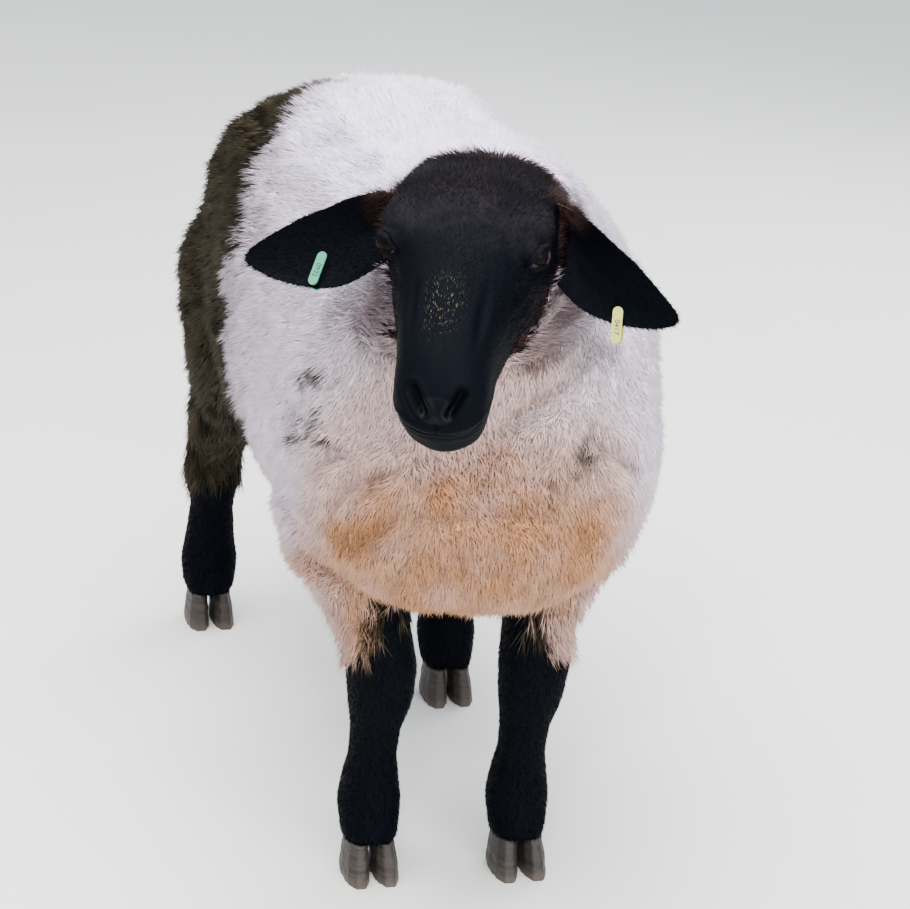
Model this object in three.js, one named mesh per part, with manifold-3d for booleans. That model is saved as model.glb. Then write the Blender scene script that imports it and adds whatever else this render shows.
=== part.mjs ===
// A life-size Suffolk sheep with two ear tags, standing with its head turned to its right.
// Millimetres, +Z up. The sheep faces -Y and its own left is +X. Every row below is the outer surface
// of the coat: wool on the body and upper legs, short hair on the head, ears and lower legs.
import * as THREE from "three";
import { mergeVertices } from "three/addons/utils/BufferGeometryUtils.js";
import Module from "manifold-3d";

const wasm = await Module();
wasm.setup();

// ---------------------------------------------------------------- driving dimensions
const GAP = 0.4; // clearance between neighbouring parts
const SIDES = { trunk: 20, neck: 16, head: 16, leg: 12, tail: 10, ear: 7, claw: 10 };
const STANCE = { // where each foot stands: x, y
  front_right: [-95, -234],
  front_left: [65, -246],
  hind_right: [-146, 424],
  hind_left: [97, 172],
};
const HEAD = { position: [-45, -350, 790], pitch: 34, yaw: 26, roll: -1.6 }; // joint with the neck, degrees
const EYE = { radius: 14, at: [65.5, -106, 36] }; // in the head's own frame, left eye
const MOUTH = { height: -14, back: -190 }; // the cut between upper and lower jaw, in the head's own frame
const EAR = { length: 158, thick: 6, settle: 0.65 }; // settle: how far the cup is lowered, as a share of it
const TAG = { length: 35, width: 9.5, thick: 2, stud: 2.4, end: 5, off: 5 }; // off: from ear to plate
const TRUNK_CUTS = [-140, 170]; // behind the shoulders, and in front of the rump
const CLAW = { height: 42, half: 13.5, cleft: 1.6 }; // cleft: half the gap between the two
const DEWCLAW = { radii: [7, 9, 11], across: 17, sunk: 2, below: 10 };

// ---------------------------------------------------------------- making solids
const V = (x, y, z) => new THREE.Vector3(x, y, z);
const radians = THREE.MathUtils.degToRad;
const mix = (a, b, t) => a + (b - a) * t;
const signedPower = (x, p) => Math.sign(x) * Math.abs(x) ** p;

// A closed body that can be joined and cut, from a geometry whose faces point out. grow moves them out.
function solid(geometry, grow = 0) {
  const bare = new THREE.BufferGeometry().setAttribute("position", geometry.getAttribute("position"));
  const merged = mergeVertices(bare.setIndex(geometry.index), 1e-3);
  if (grow) {
    merged.computeVertexNormals();
    const { position, normal } = merged.attributes;
    position.array.forEach((value, i) => { position.array[i] = value + grow * normal.array[i]; });
  }
  return new wasm.Manifold(new wasm.Mesh({
    numProp: 3,
    vertProperties: merged.attributes.position.array,
    triVerts: new Uint32Array(merged.index.array),
  }));
}

// The geometry of rings of points, closed by a fan at each end.
function ringsToGeometry(rings, ends) {
  const sides = rings[0].length;
  const points = [...rings.flat(), ...ends];
  const index = [];
  for (let r = 0; r + 1 < rings.length; r++) {
    for (let s = 0; s < sides; s++) {
      const a = r * sides + s;
      const b = r * sides + ((s + 1) % sides);
      index.push(a, b, b + sides, a, b + sides, a + sides);
    }
  }
  const [first, last] = [rings.length * sides, rings.length * sides + 1];
  const top = (rings.length - 1) * sides;
  for (let s = 0; s < sides; s++) {
    index.push(first, (s + 1) % sides, s, last, top + s, top + ((s + 1) % sides));
  }
  return new THREE.BufferGeometry().setFromPoints(points).setIndex(index);
}

// One column of the rows at step k + t, on a Catmull-Rom curve.
function between(rows, k, t, column) {
  const at = (i) => rows[Math.min(Math.max(i, 0), rows.length - 1)][column];
  const [a, b, c, d] = [at(k - 1), at(k), at(k + 1), at(k + 2)];
  const bend = 2 * a - 5 * b + 4 * c - d + (3 * b - a - 3 * c + d) * t;
  return b + 0.5 * t * (c - a + t * bend);
}

// A body swept along rows of [x, y, z, half width, upper half, lower half, squareness]. The width runs
// along X as nearly as the path allows, and the upper half lies towards +Z, or towards -Y on a leg.
// Squareness 2 is an ellipse. grow makes a body that much larger all over, to cut its neighbour with.
function sweep(rows, { sides, steps = 2, grow = 0, place = null }) {
  const count = (rows.length - 1) * steps + 1;
  const sampled = Array.from({ length: count }, (_, i) => {
    const k = Math.min(Math.floor(i / steps), rows.length - 2);
    return rows[0].map((_, column) => between(rows, k, i / steps - k, column));
  });
  const centres = sampled.map(([x, y, z]) => V(x, y, z));
  const rings = sampled.map(([, , , wide, up, down, square], i) => {
    const tangent = centres[Math.min(i + 1, count - 1)].clone()
      .sub(centres[Math.max(i - 1, 0)]).normalize();
    const across = V(1, 0, 0).addScaledVector(tangent, -tangent.x).normalize();
    const rise = across.clone().cross(tangent);
    if (rise.z - rise.y < 0) rise.negate();
    const flip = across.clone().cross(rise).dot(tangent) > 0 ? 1 : -1;
    return Array.from({ length: sides }, (_, s) => {
      const turn = (flip * 2 * Math.PI * s) / sides;
      const u = signedPower(Math.cos(turn), 2 / square);
      const v = signedPower(Math.sin(turn), 2 / square);
      return centres[i].clone()
        .addScaledVector(across, u * wide)
        .addScaledVector(rise, v * (v > 0 ? up : down));
    });
  });
  const ends = [rings[0], rings[count - 1]].map((ring) => ring
    .reduce((sum, p) => sum.add(p), V(0, 0, 0)).divideScalar(sides));
  const geometry = ringsToGeometry(rings, ends);
  if (place) geometry.applyMatrix4(place);
  return solid(geometry, grow);
}

function turnFacesRound(geometry) {
  const index = geometry.index.array;
  for (let i = 0; i < index.length; i += 3) [index[i + 1], index[i + 2]] = [index[i + 2], index[i + 1]];
}

const union = (...solids) => solids.reduce((a, b) => a.add(b));
const less = (body, ...cutters) => cutters.reduce((a, b) => a.subtract(b), body);
const largest = (body) => body.decompose().sort((a, b) => b.volume() - a.volume())[0];

function placed(geometry, place) {
  if (place) geometry.applyMatrix4(place);
  return solid(geometry);
}

// A box from its lowest to its highest corner.
function box(low, high, place = null) {
  const geometry = new THREE.BoxGeometry(...high.map((h, i) => h - low[i]));
  return placed(geometry.translate(...high.map((h, i) => (h + low[i]) / 2)), place);
}

function ellipsoid([x, y, z], [rx, ry, rz], { grow = 0, place = null, detail = 16 } = {}) {
  const geometry = new THREE.SphereGeometry(1, detail, Math.round(detail * 0.6));
  geometry.scale(rx, ry, rz).translate(x, y, z);
  if (place) geometry.applyMatrix4(place);
  return solid(geometry, grow);
}

// ---------------------------------------------------------------- trunk, neck and tail
// x, y, top of the back, underline, half width, height of the widest point, squareness
const TRUNK = [
  [-44, -418, 533, 458, 30, 493, 2.0],
  [-42, -404, 598, 398, 92, 488, 2.15],
  [-36, -366, 668, 350, 148, 483, 2.3],
  [-27, -315, 716, 324, 182, 486, 2.4],
  [-16, -250, 748, 316, 200, 494, 2.4],
  [-6, -160, 762, 314, 205, 496, 2.45],
  [0, -50, 756, 312, 211, 500, 2.45],
  [0, 60, 752, 314, 215, 504, 2.45],
  [0, 150, 755, 328, 211, 514, 2.4],
  [0, 230, 760, 358, 203, 534, 2.35],
  [0, 300, 752, 388, 196, 554, 2.3],
  [0, 355, 726, 412, 178, 566, 2.2],
  [0, 398, 680, 446, 140, 568, 2.15],
  [0, 424, 620, 508, 62, 564, 2.05],
];

function trunk(grow = 0) {
  const rows = TRUNK.map(([x, y, top, bottom, wide, middle, square]) =>
    [x, y, middle, wide, top - middle, middle - bottom, square]);
  return sweep(rows, { sides: SIDES.trunk, steps: 2, grow });
}

// x, y, z, half width, upper half, lower half, squareness, from inside the chest to the skull
const NECK = [
  [-8, -150, 585, 132, 128, 170, 2.2],
  [-14, -215, 643, 146, 122, 186, 2.2],
  [-26, -275, 693, 136, 106, 165, 2.1],
  [-38, -322, 738, 116, 86, 130, 2.05],
  [-46, -358, 773, 98, 62, 98, 2.0],
  [-50, -380, 794, 78, 42, 70, 2.0],
];
const neck = (grow = 0) => sweep(NECK, { sides: SIDES.neck, grow });

const TAIL = [
  [0, 380, 703, 28, 20, 20, 2],
  [0, 412, 678, 33, 24, 24, 2],
  [0, 434, 636, 35, 26, 26, 2],
  [0, 441, 588, 33, 24, 24, 2],
  [0, 440, 553, 20, 16, 16, 2],
];

// ---------------------------------------------------------------- legs
// height, shift across, shift along, half width, half in front, half behind, squareness.
// The shifts are from the line between the foot and the upper leg.
const FRONT_LEG = [
  [36, 0, -8, 29, 32, 28, 2.3],
  [56, 0, -3, 32, 31, 29, 2.2],
  [82, 0, 3, 35, 32, 36, 2.2],
  [108, 0, 2, 31, 28, 32, 2.2],
  [140, 0, -2, 26, 25, 27, 2.2],
  [174, 0, -6, 27.5, 28, 28, 2.2],
  [210, 2, -10, 35, 37, 33, 2.3],
  [244, 2, -11, 38, 40, 36, 2.3],
  [280, 0, -8, 39, 42, 43, 2.2],
  [322, 0, -2, 52, 54, 60, 2.2],
  [372, 0, 4, 67, 68, 82, 2.2],
  [424, 0, 8, 70, 72, 88, 2.2],
  [484, 0, 6, 50, 54, 66, 2.2],
];
const HIND_LEG = [
  [36, 0, -8, 29, 32, 28, 2.3],
  [56, 0, -3, 33, 31, 30, 2.2],
  [82, 0, 4, 36, 32, 38, 2.2],
  [110, 0, 9, 31, 28, 34, 2.2],
  [154, 0, 18, 27, 27, 31, 2.2],
  [200, 0, 28, 33, 33, 38, 2.2],
  [246, 0, 34, 38, 40, 48, 2.2],
  [292, 0, 22, 44, 52, 60, 2.2],
  [344, 0, 2, 58, 78, 84, 2.2],
  [408, 0, -14, 76, 104, 106, 2.2],
  [488, 0, -22, 88, 120, 118, 2.2],
  [554, 0, -24, 72, 100, 98, 2.2],
  [606, 0, -24, 32, 56, 52, 2.2],
];
const LEGS = { // bend is the height from which the leg leans towards the shoulder or hip
  front_right: { rows: FRONT_LEG, hip: [-150, -206], bend: 225 },
  front_left: { rows: FRONT_LEG, hip: [134, -206], bend: 225 },
  hind_right: { rows: HIND_LEG, hip: [-130, 300], bend: 20 },
  hind_left: { rows: HIND_LEG, hip: [130, 286], bend: 20 },
};
const LEG_CUTS = { front: [96, 280], hind: [96, 198] }; // heights of the fetlock and of the wool's edge

function legRows(name) {
  const { rows, hip, bend } = LEGS[name];
  const foot = STANCE[name];
  const high = rows[rows.length - 1][0];
  return rows.map(([z, across, along, wide, before, behind, square]) => {
    const share = THREE.MathUtils.smoothstep(z, bend, high);
    const x = mix(foot[0], hip[0], share) + across;
    const y = mix(foot[1], hip[1], share) + along;
    return [x, y, z, wide, before, behind, square];
  });
}

const FAR = 2000;
const slab = (y1, y2) => box([-FAR, y1, -FAR], [FAR, y2, FAR]);
const layer = (z1, z2) => box([-FAR, -FAR, z1], [FAR, FAR, z2]);

// One claw of a foot: a wedge with a flat sole, the toe forward. side is 1 for the left claw.
function claw(name, side) {
  const [x, y] = STANCE[name];
  const { height, half, cleft } = CLAW;
  const middle = x + side * (half + cleft);
  const rows = [
    [middle + side * 1.4, y - 14, -20, half + 1.5, 40, 30, 2.4],
    [middle + side * 0.6, y - 10, 12, half + 0.5, 35, 30, 2.4],
    [middle - side * 0.6, y - 6, 36, half - 1.5, 28, 28, 2.3],
    [middle - side * 1.2, y - 4, 54, half - 3, 23, 25, 2.2],
  ];
  return sweep(rows, { sides: SIDES.claw, steps: 1 }).intersect(layer(0, height));
}

// The two small claws behind the fetlock.
function dewclaw(name, side) {
  const [x, y] = STANCE[name];
  const [height, , along, , , behind] = LEGS[name].rows[2];
  const { radii, across, sunk, below } = DEWCLAW;
  return ellipsoid([x + side * across, y + along + behind - sunk, height - below], radii, { detail: 7 });
}

// ---------------------------------------------------------------- head, in its own frame
// The face runs from the nape at y 0 to the nose at -Y, and the forehead is up.
const headPlace = new THREE.Matrix4().makeTranslation(...HEAD.position).multiply(
  new THREE.Matrix4().makeRotationFromEuler(
    new THREE.Euler(radians(HEAD.pitch), radians(HEAD.roll), radians(-HEAD.yaw), "ZXY")));

// y, crown of the nose or forehead, underside, half width, height of the widest point, squareness
// and how far the middle leans to the left
const SKULL = [
  [24, 16, -40, 40, -8, 2.0, 0],
  [8, 40, -68, 64, -4, 2.1, 0],
  [-16, 54, -88, 77, 2, 2.2, 0],
  [-46, 65, -98, 82, 8, 2.3, 0],
  [-80, 68, -98, 82, 12, 2.3, 0],
  [-112, 62, -90, 73, 8, 2.3, 0],
  [-145, 55, -80, 61, 0, 2.35, 0],
  [-180, 48, -73, 52, -6, 2.4, 0],
  [-212, 41, -69, 47, -10, 2.4, 1],
  [-240, 31, -67, 46, -12, 2.3, 3],
  [-262, 18, -61, 41, -15, 2.25, 4.5],
  [-276, 4, -48, 30, -18, 2.1, 5],
  [-284, -9, -30, 13, -19, 2.0, 5],
];

function skull(grow = 0) {
  const rows = SKULL.map(([y, top, bottom, wide, middle, square, lean]) =>
    [lean, y, middle, wide, top - middle, middle - bottom, square]);
  return sweep(rows, { sides: SIDES.head, grow, place: headPlace });
}
const cheek = (side, grow = 0) =>
  ellipsoid([side * 43, -72, -40], [31, 56, 48], { grow, place: headPlace, detail: 10 });
const brow = (side, grow = 0) =>
  ellipsoid([side * 53, -83, 36], [29, 38, 24], { grow, place: headPlace, detail: 10 });

function eye(side, grow = 0) {
  const [x, y, z] = EYE.at;
  const r = EYE.radius;
  return ellipsoid([side * x, y, z], [r, r, r], { grow, place: headPlace, detail: 8 });
}

function wholeHead(grow = 0) {
  return union(skull(grow), cheek(1, grow), cheek(-1, grow), brow(1, grow), brow(-1, grow));
}

// ---------------------------------------------------------------- ears and tags, in the ear's frame
// The ear runs along +X from its root, the opening faces +Z and the lower edge lies at -Y.
const EARS = {
  left: { side: 1, root: [60, -42, 4], droop: 27, back: 14, twist: 58 },
  right: { side: -1, root: [68, -51, -5], droop: 14.5, back: 10, twist: 38 },
};
const TAGS = { // share of the ear's length, then of its half chord at the pin and where the plates lean to
  left: { share: 0.67, from: -0.7, to: -0.98, swing: 4 },
  right: { share: 0.55, from: -0.22, to: -0.98, swing: -3 },
};
// share of the length, half chord, depth of the cup, rise of the middle line
const EAR_ROWS = [
  [0.0, 22, 20, 7],
  [0.12, 30, 22, 4],
  [0.28, 36, 20, -1.5],
  [0.45, 37, 16, -7],
  [0.6, 34, 12, -7.5],
  [0.74, 27, 8, -6.5],
  [0.86, 19, 5, -4.5],
  [0.95, 11, 2.5, -2],
  [1.0, 4, 1, -0.5],
];

function earPlace({ side, root, droop, back, twist }) {
  const [x, y, z] = root;
  const turn = new THREE.Euler(radians(twist), radians(back), radians(-droop), "ZYX");
  const local = new THREE.Matrix4().makeTranslation(x, y, z)
    .multiply(new THREE.Matrix4().makeRotationFromEuler(turn));
  return headPlace.clone()
    .multiply(new THREE.Matrix4().makeScale(side, 1, 1))
    .multiply(local);
}

// The middle surface of the ear at a share of its length and of its half chord.
function earPoint(share, a) {
  const last = EAR_ROWS.length - 2;
  const k = Math.min(Math.max(EAR_ROWS.findIndex(([s]) => s > share) - 1, 0), last);
  const t = (share - EAR_ROWS[k][0]) / (EAR_ROWS[k + 1][0] - EAR_ROWS[k][0]);
  const [chord, cup, rise] = [1, 2, 3].map((c) => between(EAR_ROWS, k, t, c));
  return V(share * EAR.length, rise + a * chord, cup * (a * a - EAR.settle));
}

function ear(which) {
  const { side } = EARS[which];
  const across = SIDES.ear;
  const rings = EAR_ROWS.map(([share, chord, cup, rise]) => {
    const thick = EAR.thick * Math.min(1, 0.5 + chord / 40);
    const skin = (inner) => Array.from({ length: across }, (_, s) => {
      const a = mix(-1, 1, s / (across - 1));
      const edge = Math.sqrt(Math.max(0, 1 - a * a));
      const half = (inner ? 0.5 : -0.5) * thick * Math.max(edge, 0.3);
      return V(share * EAR.length, rise + a * chord, cup * (a * a - EAR.settle) + half);
    });
    return [...skin(false), ...skin(true).reverse()];
  });
  const middle = (ring) => ring.reduce((sum, p) => sum.add(p), V(0, 0, 0)).divideScalar(ring.length);
  const geometry = ringsToGeometry(rings, [middle(rings[0]), middle(rings[rings.length - 1])]);
  geometry.applyMatrix4(earPlace(EARS[which]));
  if (side < 0) turnFacesRound(geometry);
  return solid(geometry);
}

// The frame of an ear tag: x across it, y down the hanging plates, z out of the ear's hollow.
function tagPlace(which) {
  const { share, from, to, swing } = TAGS[which];
  const place = earPlace(EARS[which]);
  const [pin, end] = [earPoint(share, from), earPoint(share, to)].map((p) => p.applyMatrix4(place));
  const along = V(1, 0, 0).transformDirection(place);
  const out = end.clone().sub(pin).cross(along).normalize();
  if (out.y > 0) out.negate();
  const down = V(0, 0, -1).addScaledVector(out, out.z).normalize();
  down.applyAxisAngle(out, radians(swing));
  return new THREE.Matrix4().makeBasis(down.clone().cross(out), down, out).setPosition(pin);
}

// Two plates with rounded ends, one on each side of the ear, and the pin that joins them.
function tag(which) {
  const { length, width, thick, end, off } = TAG;
  const outline = new THREE.Shape()
    .absarc(0, length - 2 * end, width / 2, 0, Math.PI)
    .absarc(0, 0, width / 2, Math.PI, 2 * Math.PI);
  const plate = (z) => {
    const shape = { depth: thick, bevelEnabled: false, curveSegments: 6 };
    const geometry = new THREE.ExtrudeGeometry(outline, shape);
    return placed(geometry.translate(0, 0, z), tagPlace(which));
  };
  return union(plate(off), plate(-off - thick), tagPin(which, 0));
}

function tagPin(which, grow) {
  const { thick, stud, off } = TAG;
  const geometry = new THREE.CylinderGeometry(stud + grow, stud + grow, 2 * off + thick, 8);
  return placed(geometry.rotateX(Math.PI / 2), tagPlace(which));
}

// ---------------------------------------------------------------- the object
const sheep = new THREE.Group();
const finishes = {
  wool: { color: 0xd9c9b8, roughness: 0.95, metalness: 0 },
  hair: { color: 0x0d0d10, roughness: 0.8, metalness: 0 },
  horn: { color: 0x2a2622, roughness: 0.6, metalness: 0 },
  eye: { color: 0x2a1a0c, roughness: 0.1, metalness: 0 },
  green_plastic: { color: 0x1e8a5a, roughness: 0.45, metalness: 0 },
  yellow_plastic: { color: 0xd9cf3a, roughness: 0.45, metalness: 0 },
};

function add(name, body, finish) {
  const { numProp, vertProperties, triVerts } = largest(body).getMesh();
  const points = new Float32Array((vertProperties.length / numProp) * 3);
  for (let i = 0; i < points.length / 3; i++) {
    points.set(vertProperties.subarray(i * numProp, i * numProp + 3), i * 3);
  }
  const geometry = new THREE.BufferGeometry()
    .setAttribute("position", new THREE.BufferAttribute(points, 3))
    .setIndex(new THREE.BufferAttribute(triVerts, 1));
  geometry.computeVertexNormals();
  const mesh = new THREE.Mesh(geometry, new THREE.MeshStandardMaterial(finishes[finish]));
  mesh.name = name;
  sheep.add(mesh);
}

const body = trunk();
const bodyCutter = trunk(GAP);
const headCutter = wholeHead(GAP);
const [withers, loin] = TRUNK_CUTS;
add("shoulders", less(body.intersect(slab(-FAR, withers)), headCutter), "wool");
add("barrel", body.intersect(slab(withers + GAP, loin)), "wool");
add("rump", body.intersect(slab(loin + GAP, FAR)), "wool");
add("neck", less(neck(), bodyCutter, headCutter), "wool");
add("tail", less(sweep(TAIL, { sides: SIDES.tail, steps: 1 }), bodyCutter), "wool");

const mouth = (grow) => box([-FAR, -FAR, -FAR], [FAR, MOUTH.back + grow, MOUTH.height + grow], headPlace);
add("lower_jaw", wholeHead().intersect(mouth(0)), "hair");
add("head", less(wholeHead(), eye(1, GAP), eye(-1, GAP), mouth(GAP)), "hair");
for (const [which, { side }] of Object.entries(EARS)) {
  add(`eye_${which}`, eye(side), "eye");
  add(`ear_${which}`, less(ear(which), headCutter, neck(GAP), tagPin(which, GAP)), "hair");
  add(`ear_tag_${which}`, tag(which), which === "left" ? "yellow_plastic" : "green_plastic");
}

for (const name of Object.keys(LEGS)) {
  const [fetlock, wool] = LEG_CUTS[name.split("_")[0]];
  const [leg, legCutter] = [0, GAP].map((grow) =>
    less(sweep(legRows(name), { sides: SIDES.leg, steps: 1, grow }), bodyCutter));
  add(`upper_leg_${name}`, leg.intersect(layer(wool + GAP, FAR)), "wool");
  add(`lower_leg_${name}`, leg.intersect(layer(fetlock + GAP, wool)), "hair");
  add(`pastern_${name}`, leg.intersect(layer(CLAW.height + GAP, fetlock)), "hair");
  for (const [which, side] of [["right", -1], ["left", 1]]) {
    add(`claw_${which}_${name}`, claw(name, side), "horn");
    add(`dewclaw_${which}_${name}`, less(dewclaw(name, side), legCutter), "horn");
  }
}

// The origin is on the ground, under the middle of the animal.
const middle = new THREE.Box3().setFromObject(sheep).getCenter(V(0, 0, 0));
sheep.position.set(-middle.x, -middle.y, 0);
export default sheep;
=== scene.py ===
"""A life-size Suffolk sheep with two ear tags, made as one skin under a coat of wool and short hair.

Run as a script in Blender. Metres, +Z up; the sheep faces -Y and its own left is +X.
"""

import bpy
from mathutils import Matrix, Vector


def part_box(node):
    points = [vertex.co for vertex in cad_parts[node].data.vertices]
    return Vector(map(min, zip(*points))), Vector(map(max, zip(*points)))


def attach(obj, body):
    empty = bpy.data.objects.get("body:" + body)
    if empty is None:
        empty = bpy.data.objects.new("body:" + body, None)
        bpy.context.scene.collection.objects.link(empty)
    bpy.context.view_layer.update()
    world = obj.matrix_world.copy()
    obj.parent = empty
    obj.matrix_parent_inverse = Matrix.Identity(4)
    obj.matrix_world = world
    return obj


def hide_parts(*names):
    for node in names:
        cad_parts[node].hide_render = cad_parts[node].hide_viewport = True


bl_info = {
    "name": "Suffolk sheep",
    "version": (1, 0, 0),
    "blender": (4, 5, 0),
    "location": "View3D > Sidebar > Sheep",
    "description": "Builds a standing Suffolk sheep around its packed solids",
    "category": "Object",
}

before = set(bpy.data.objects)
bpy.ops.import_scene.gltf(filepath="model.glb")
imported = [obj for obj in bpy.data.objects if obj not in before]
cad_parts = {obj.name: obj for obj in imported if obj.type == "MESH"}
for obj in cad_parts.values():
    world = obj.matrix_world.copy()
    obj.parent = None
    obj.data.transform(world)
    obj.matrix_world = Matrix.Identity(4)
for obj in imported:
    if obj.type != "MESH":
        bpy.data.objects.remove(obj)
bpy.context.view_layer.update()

import math

import bmesh
import bpy
import numpy as np
from bpy.props import FloatProperty, FloatVectorProperty, IntProperty, PointerProperty
from mathutils import Matrix, Vector
from mathutils.kdtree import KDTree

MM = 0.001

# ---------------------------------------------------------------- where the head and ears are
FEET = ("front_right", "front_left", "hind_right", "hind_left")
FLESH = (
    "shoulders", "barrel", "rump", "neck", "tail",
    *(f"{part}_{foot}" for foot in FEET for part in ("upper_leg", "lower_leg", "pastern")),
)
HEAD_NODES = ("head", "lower_jaw", "ear_left", "ear_right")


def turn(degrees, axis):
    return np.array(Matrix.Rotation(math.radians(degrees), 3, axis))


def middle_of(node):
    low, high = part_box(node)
    return np.array((low + high) / 2)


EYE_AT = np.array([65.5, -106.0, 36.0]) * MM  # the left eye, in the head's own frame
EYE_RADIUS = 14 * MM
HEAD_TURN = turn(-26, "Z") @ turn(34, "X") @ turn(-1.6, "Y")
HEAD_AT = (middle_of("eye_left") + middle_of("eye_right")) / 2 - HEAD_TURN @ (EYE_AT * (0, 1, 1))

EARS = {  # side, root, droop, back and twist, in the head's own frame
    "left": (1, (60, -42, 4), 27, 14, 58),
    "right": (-1, (68, -51, -5), 14.5, 10, 38),
}


def ear_frame(which):
    """The turn and place of an ear: +X from root to tip, -Y its lower edge, +Z out of its opening."""
    side, root, droop, back, twist = EARS[which]
    mirror = np.diag([side, 1, 1])
    local = turn(-droop, "Z") @ turn(back, "Y") @ turn(twist, "X")
    return HEAD_TURN @ mirror @ local, HEAD_AT + HEAD_TURN @ mirror @ (np.array(root) * MM)


def to_head(points):
    """Points in the head's own frame, in millimetres."""
    return (points - HEAD_AT) @ HEAD_TURN / MM


def to_ears(points):
    """For each ear, the points in its own frame, in millimetres, and the turn of that frame."""
    for which in EARS:
        turned, root = ear_frame(which)
        yield (points - root) @ turned / MM, turned


# ---------------------------------------------------------------- small tools for arrays
def unit(vectors):
    return vectors / np.maximum(np.linalg.norm(vectors, axis=-1, keepdims=True), 1e-12)


def smooth_step(low, high, x):
    t = np.clip((x - low) / (high - low), 0, 1)
    return t * t * (3 - 2 * t)


def mix(a, b, t):
    return a + (b - a) * t


def ripple(points, size, seed, waves=18):
    """A smooth random field of about -1 to 1 whose lumps are about size metres across."""
    rng = np.random.default_rng(seed)
    directions = unit(rng.normal(size=(waves, 3))) * rng.uniform(0.6, 1.4, (waves, 1))
    phases = rng.uniform(0, 2 * np.pi, waves)
    return np.cos(points @ directions.T * (np.pi / size) + phases).sum(1) / math.sqrt(waves / 2) / 1.6


def blob(points, centre, radii):
    """1 at the centre of an ellipsoid, falling smoothly to 0 at its surface."""
    distance = (((points - centre) / radii) ** 2).sum(1)
    return np.clip(1 - distance, 0, 1) ** 2


def from_line(points, start, end):
    """Each point's distance from a line between two points, and how far along the line it is."""
    start, end = np.array(start, float), np.array(end, float)
    along = np.clip((points - start) @ (end - start) / ((end - start) @ (end - start)), 0, 1)
    return np.linalg.norm(points - start - along[:, None] * (end - start), axis=1), along


def curve_through(rows, at):
    """Rows read at fractional row numbers, on a Catmull-Rom curve."""
    rows = np.array(rows, float)
    k = np.clip(np.floor(at).astype(int), 0, len(rows) - 2)
    t = (at - k)[:, None]
    a, b, c, d = (rows[np.clip(k + i, 0, len(rows) - 1)] for i in (-1, 0, 1, 2))
    return b + 0.5 * t * (c - a + t * (2 * a - 5 * b + 4 * c - d + t * (3 * b - a - 3 * c + d)))


# ---------------------------------------------------------------- small tools for meshes
def mesh_of(name, points, faces):
    """A mesh from an array of points and an array of faces that all have the same number of corners."""
    mesh = bpy.data.meshes.new(name)
    faces = np.asarray(faces, np.int32)
    mesh.vertices.add(len(points))
    mesh.vertices.foreach_set("co", np.ascontiguousarray(points, np.float32).ravel())
    mesh.loops.add(faces.size)
    mesh.loops.foreach_set("vertex_index", faces.ravel())
    mesh.polygons.add(len(faces))
    mesh.polygons.foreach_set("loop_start", np.arange(0, faces.size, faces.shape[1], dtype=np.int32))
    mesh.update(calc_edges=True)
    mesh.shade_smooth()
    return mesh


def add_object(name, mesh):
    made = bpy.data.objects.new(name, mesh)
    bpy.context.scene.collection.objects.link(made)
    return made


def read(items, key, width=1, kind=np.float32):
    """One value of every item, as an array with width numbers in a row."""
    values = np.empty(len(items) * width, kind)
    items.foreach_get(key, values)
    return values.reshape(-1, width) if width > 1 else values


def points_of(mesh):
    return read(mesh.vertices, "co", 3).astype(float)


def normals_of(mesh):
    return read(mesh.vertex_normals, "vector", 3).astype(float)


def move_points(mesh, points):
    mesh.vertices.foreach_set("co", np.ascontiguousarray(points, np.float32).ravel())
    mesh.update()


SHRINK, SWELL = 0.5, -0.53  # how far a round of smoothing moves a point, and the round that swells it back


def smooth(mesh, rounds, weight=1.0, keep_size=True):
    """Evens out the surface. With keep_size each round is followed by one that swells it back."""
    points, edges = points_of(mesh), read(mesh.edges, "vertices", 2, np.int32)
    ends = np.concatenate([edges[:, 0], edges[:, 1]])
    others = np.concatenate([edges[:, 1], edges[:, 0]])
    count = np.maximum(np.bincount(ends, minlength=len(points)), 1)[:, None]
    strength = np.broadcast_to(weight, len(points))[:, None]
    for _ in range(rounds):
        for factor in (SHRINK, SWELL) if keep_size else (SHRINK,):
            mean = np.stack([np.bincount(ends, points[others, i], len(points)) for i in range(3)], 1)
            points = points + factor * strength * (mean / count - points)
    move_points(mesh, points)


def baked(made):
    """The object's mesh with its modifiers applied; the object is removed."""
    graph = bpy.context.evaluated_depsgraph_get()
    mesh = bpy.data.meshes.new_from_object(made.evaluated_get(graph))
    bpy.data.objects.remove(made)
    return mesh


def remeshed(mesh, voxel):
    made = add_object("remesh", mesh)
    cut = made.modifiers.new("voxels", "REMESH")
    cut.mode = "VOXEL"
    cut.voxel_size = voxel
    return baked(made)


def joined(mesh, *others):
    """One closed mesh from several that overlap."""
    made = add_object("union", mesh)
    helpers = [add_object("other", other) for other in others]
    for helper in helpers:
        union = made.modifiers.new("union", "BOOLEAN")
        union.operation = "UNION"
        union.solver = "MANIFOLD"
        union.object = helper
    mesh = baked(made)
    for helper in helpers:
        bpy.data.objects.remove(helper)
    return mesh


def combined(meshes):
    """One mesh that holds all the others, not yet joined."""
    book = bmesh.new()
    for mesh in meshes:
        book.from_mesh(mesh)
    mesh = bpy.data.meshes.new("combined")
    book.to_mesh(mesh)
    book.free()
    return mesh


def tube_faces(rings, sides):
    """Quads between rings of points and the two fans that close them; the last two points are the ends."""
    r, s = np.meshgrid(np.arange(rings - 1), np.arange(sides), indexing="ij")
    a, b = r * sides + s, r * sides + (s + 1) % sides
    quads = np.stack([a, b, b + sides, a + sides], -1).reshape(-1, 4)
    s = np.arange(sides)
    first, last, top = rings * sides, rings * sides + 1, (rings - 1) * sides
    ends = [np.stack([np.full(sides, first), (s + 1) % sides, s], 1),
            np.stack([np.full(sides, last), top + s, top + (s + 1) % sides], 1)]
    return quads, np.concatenate(ends)


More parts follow.
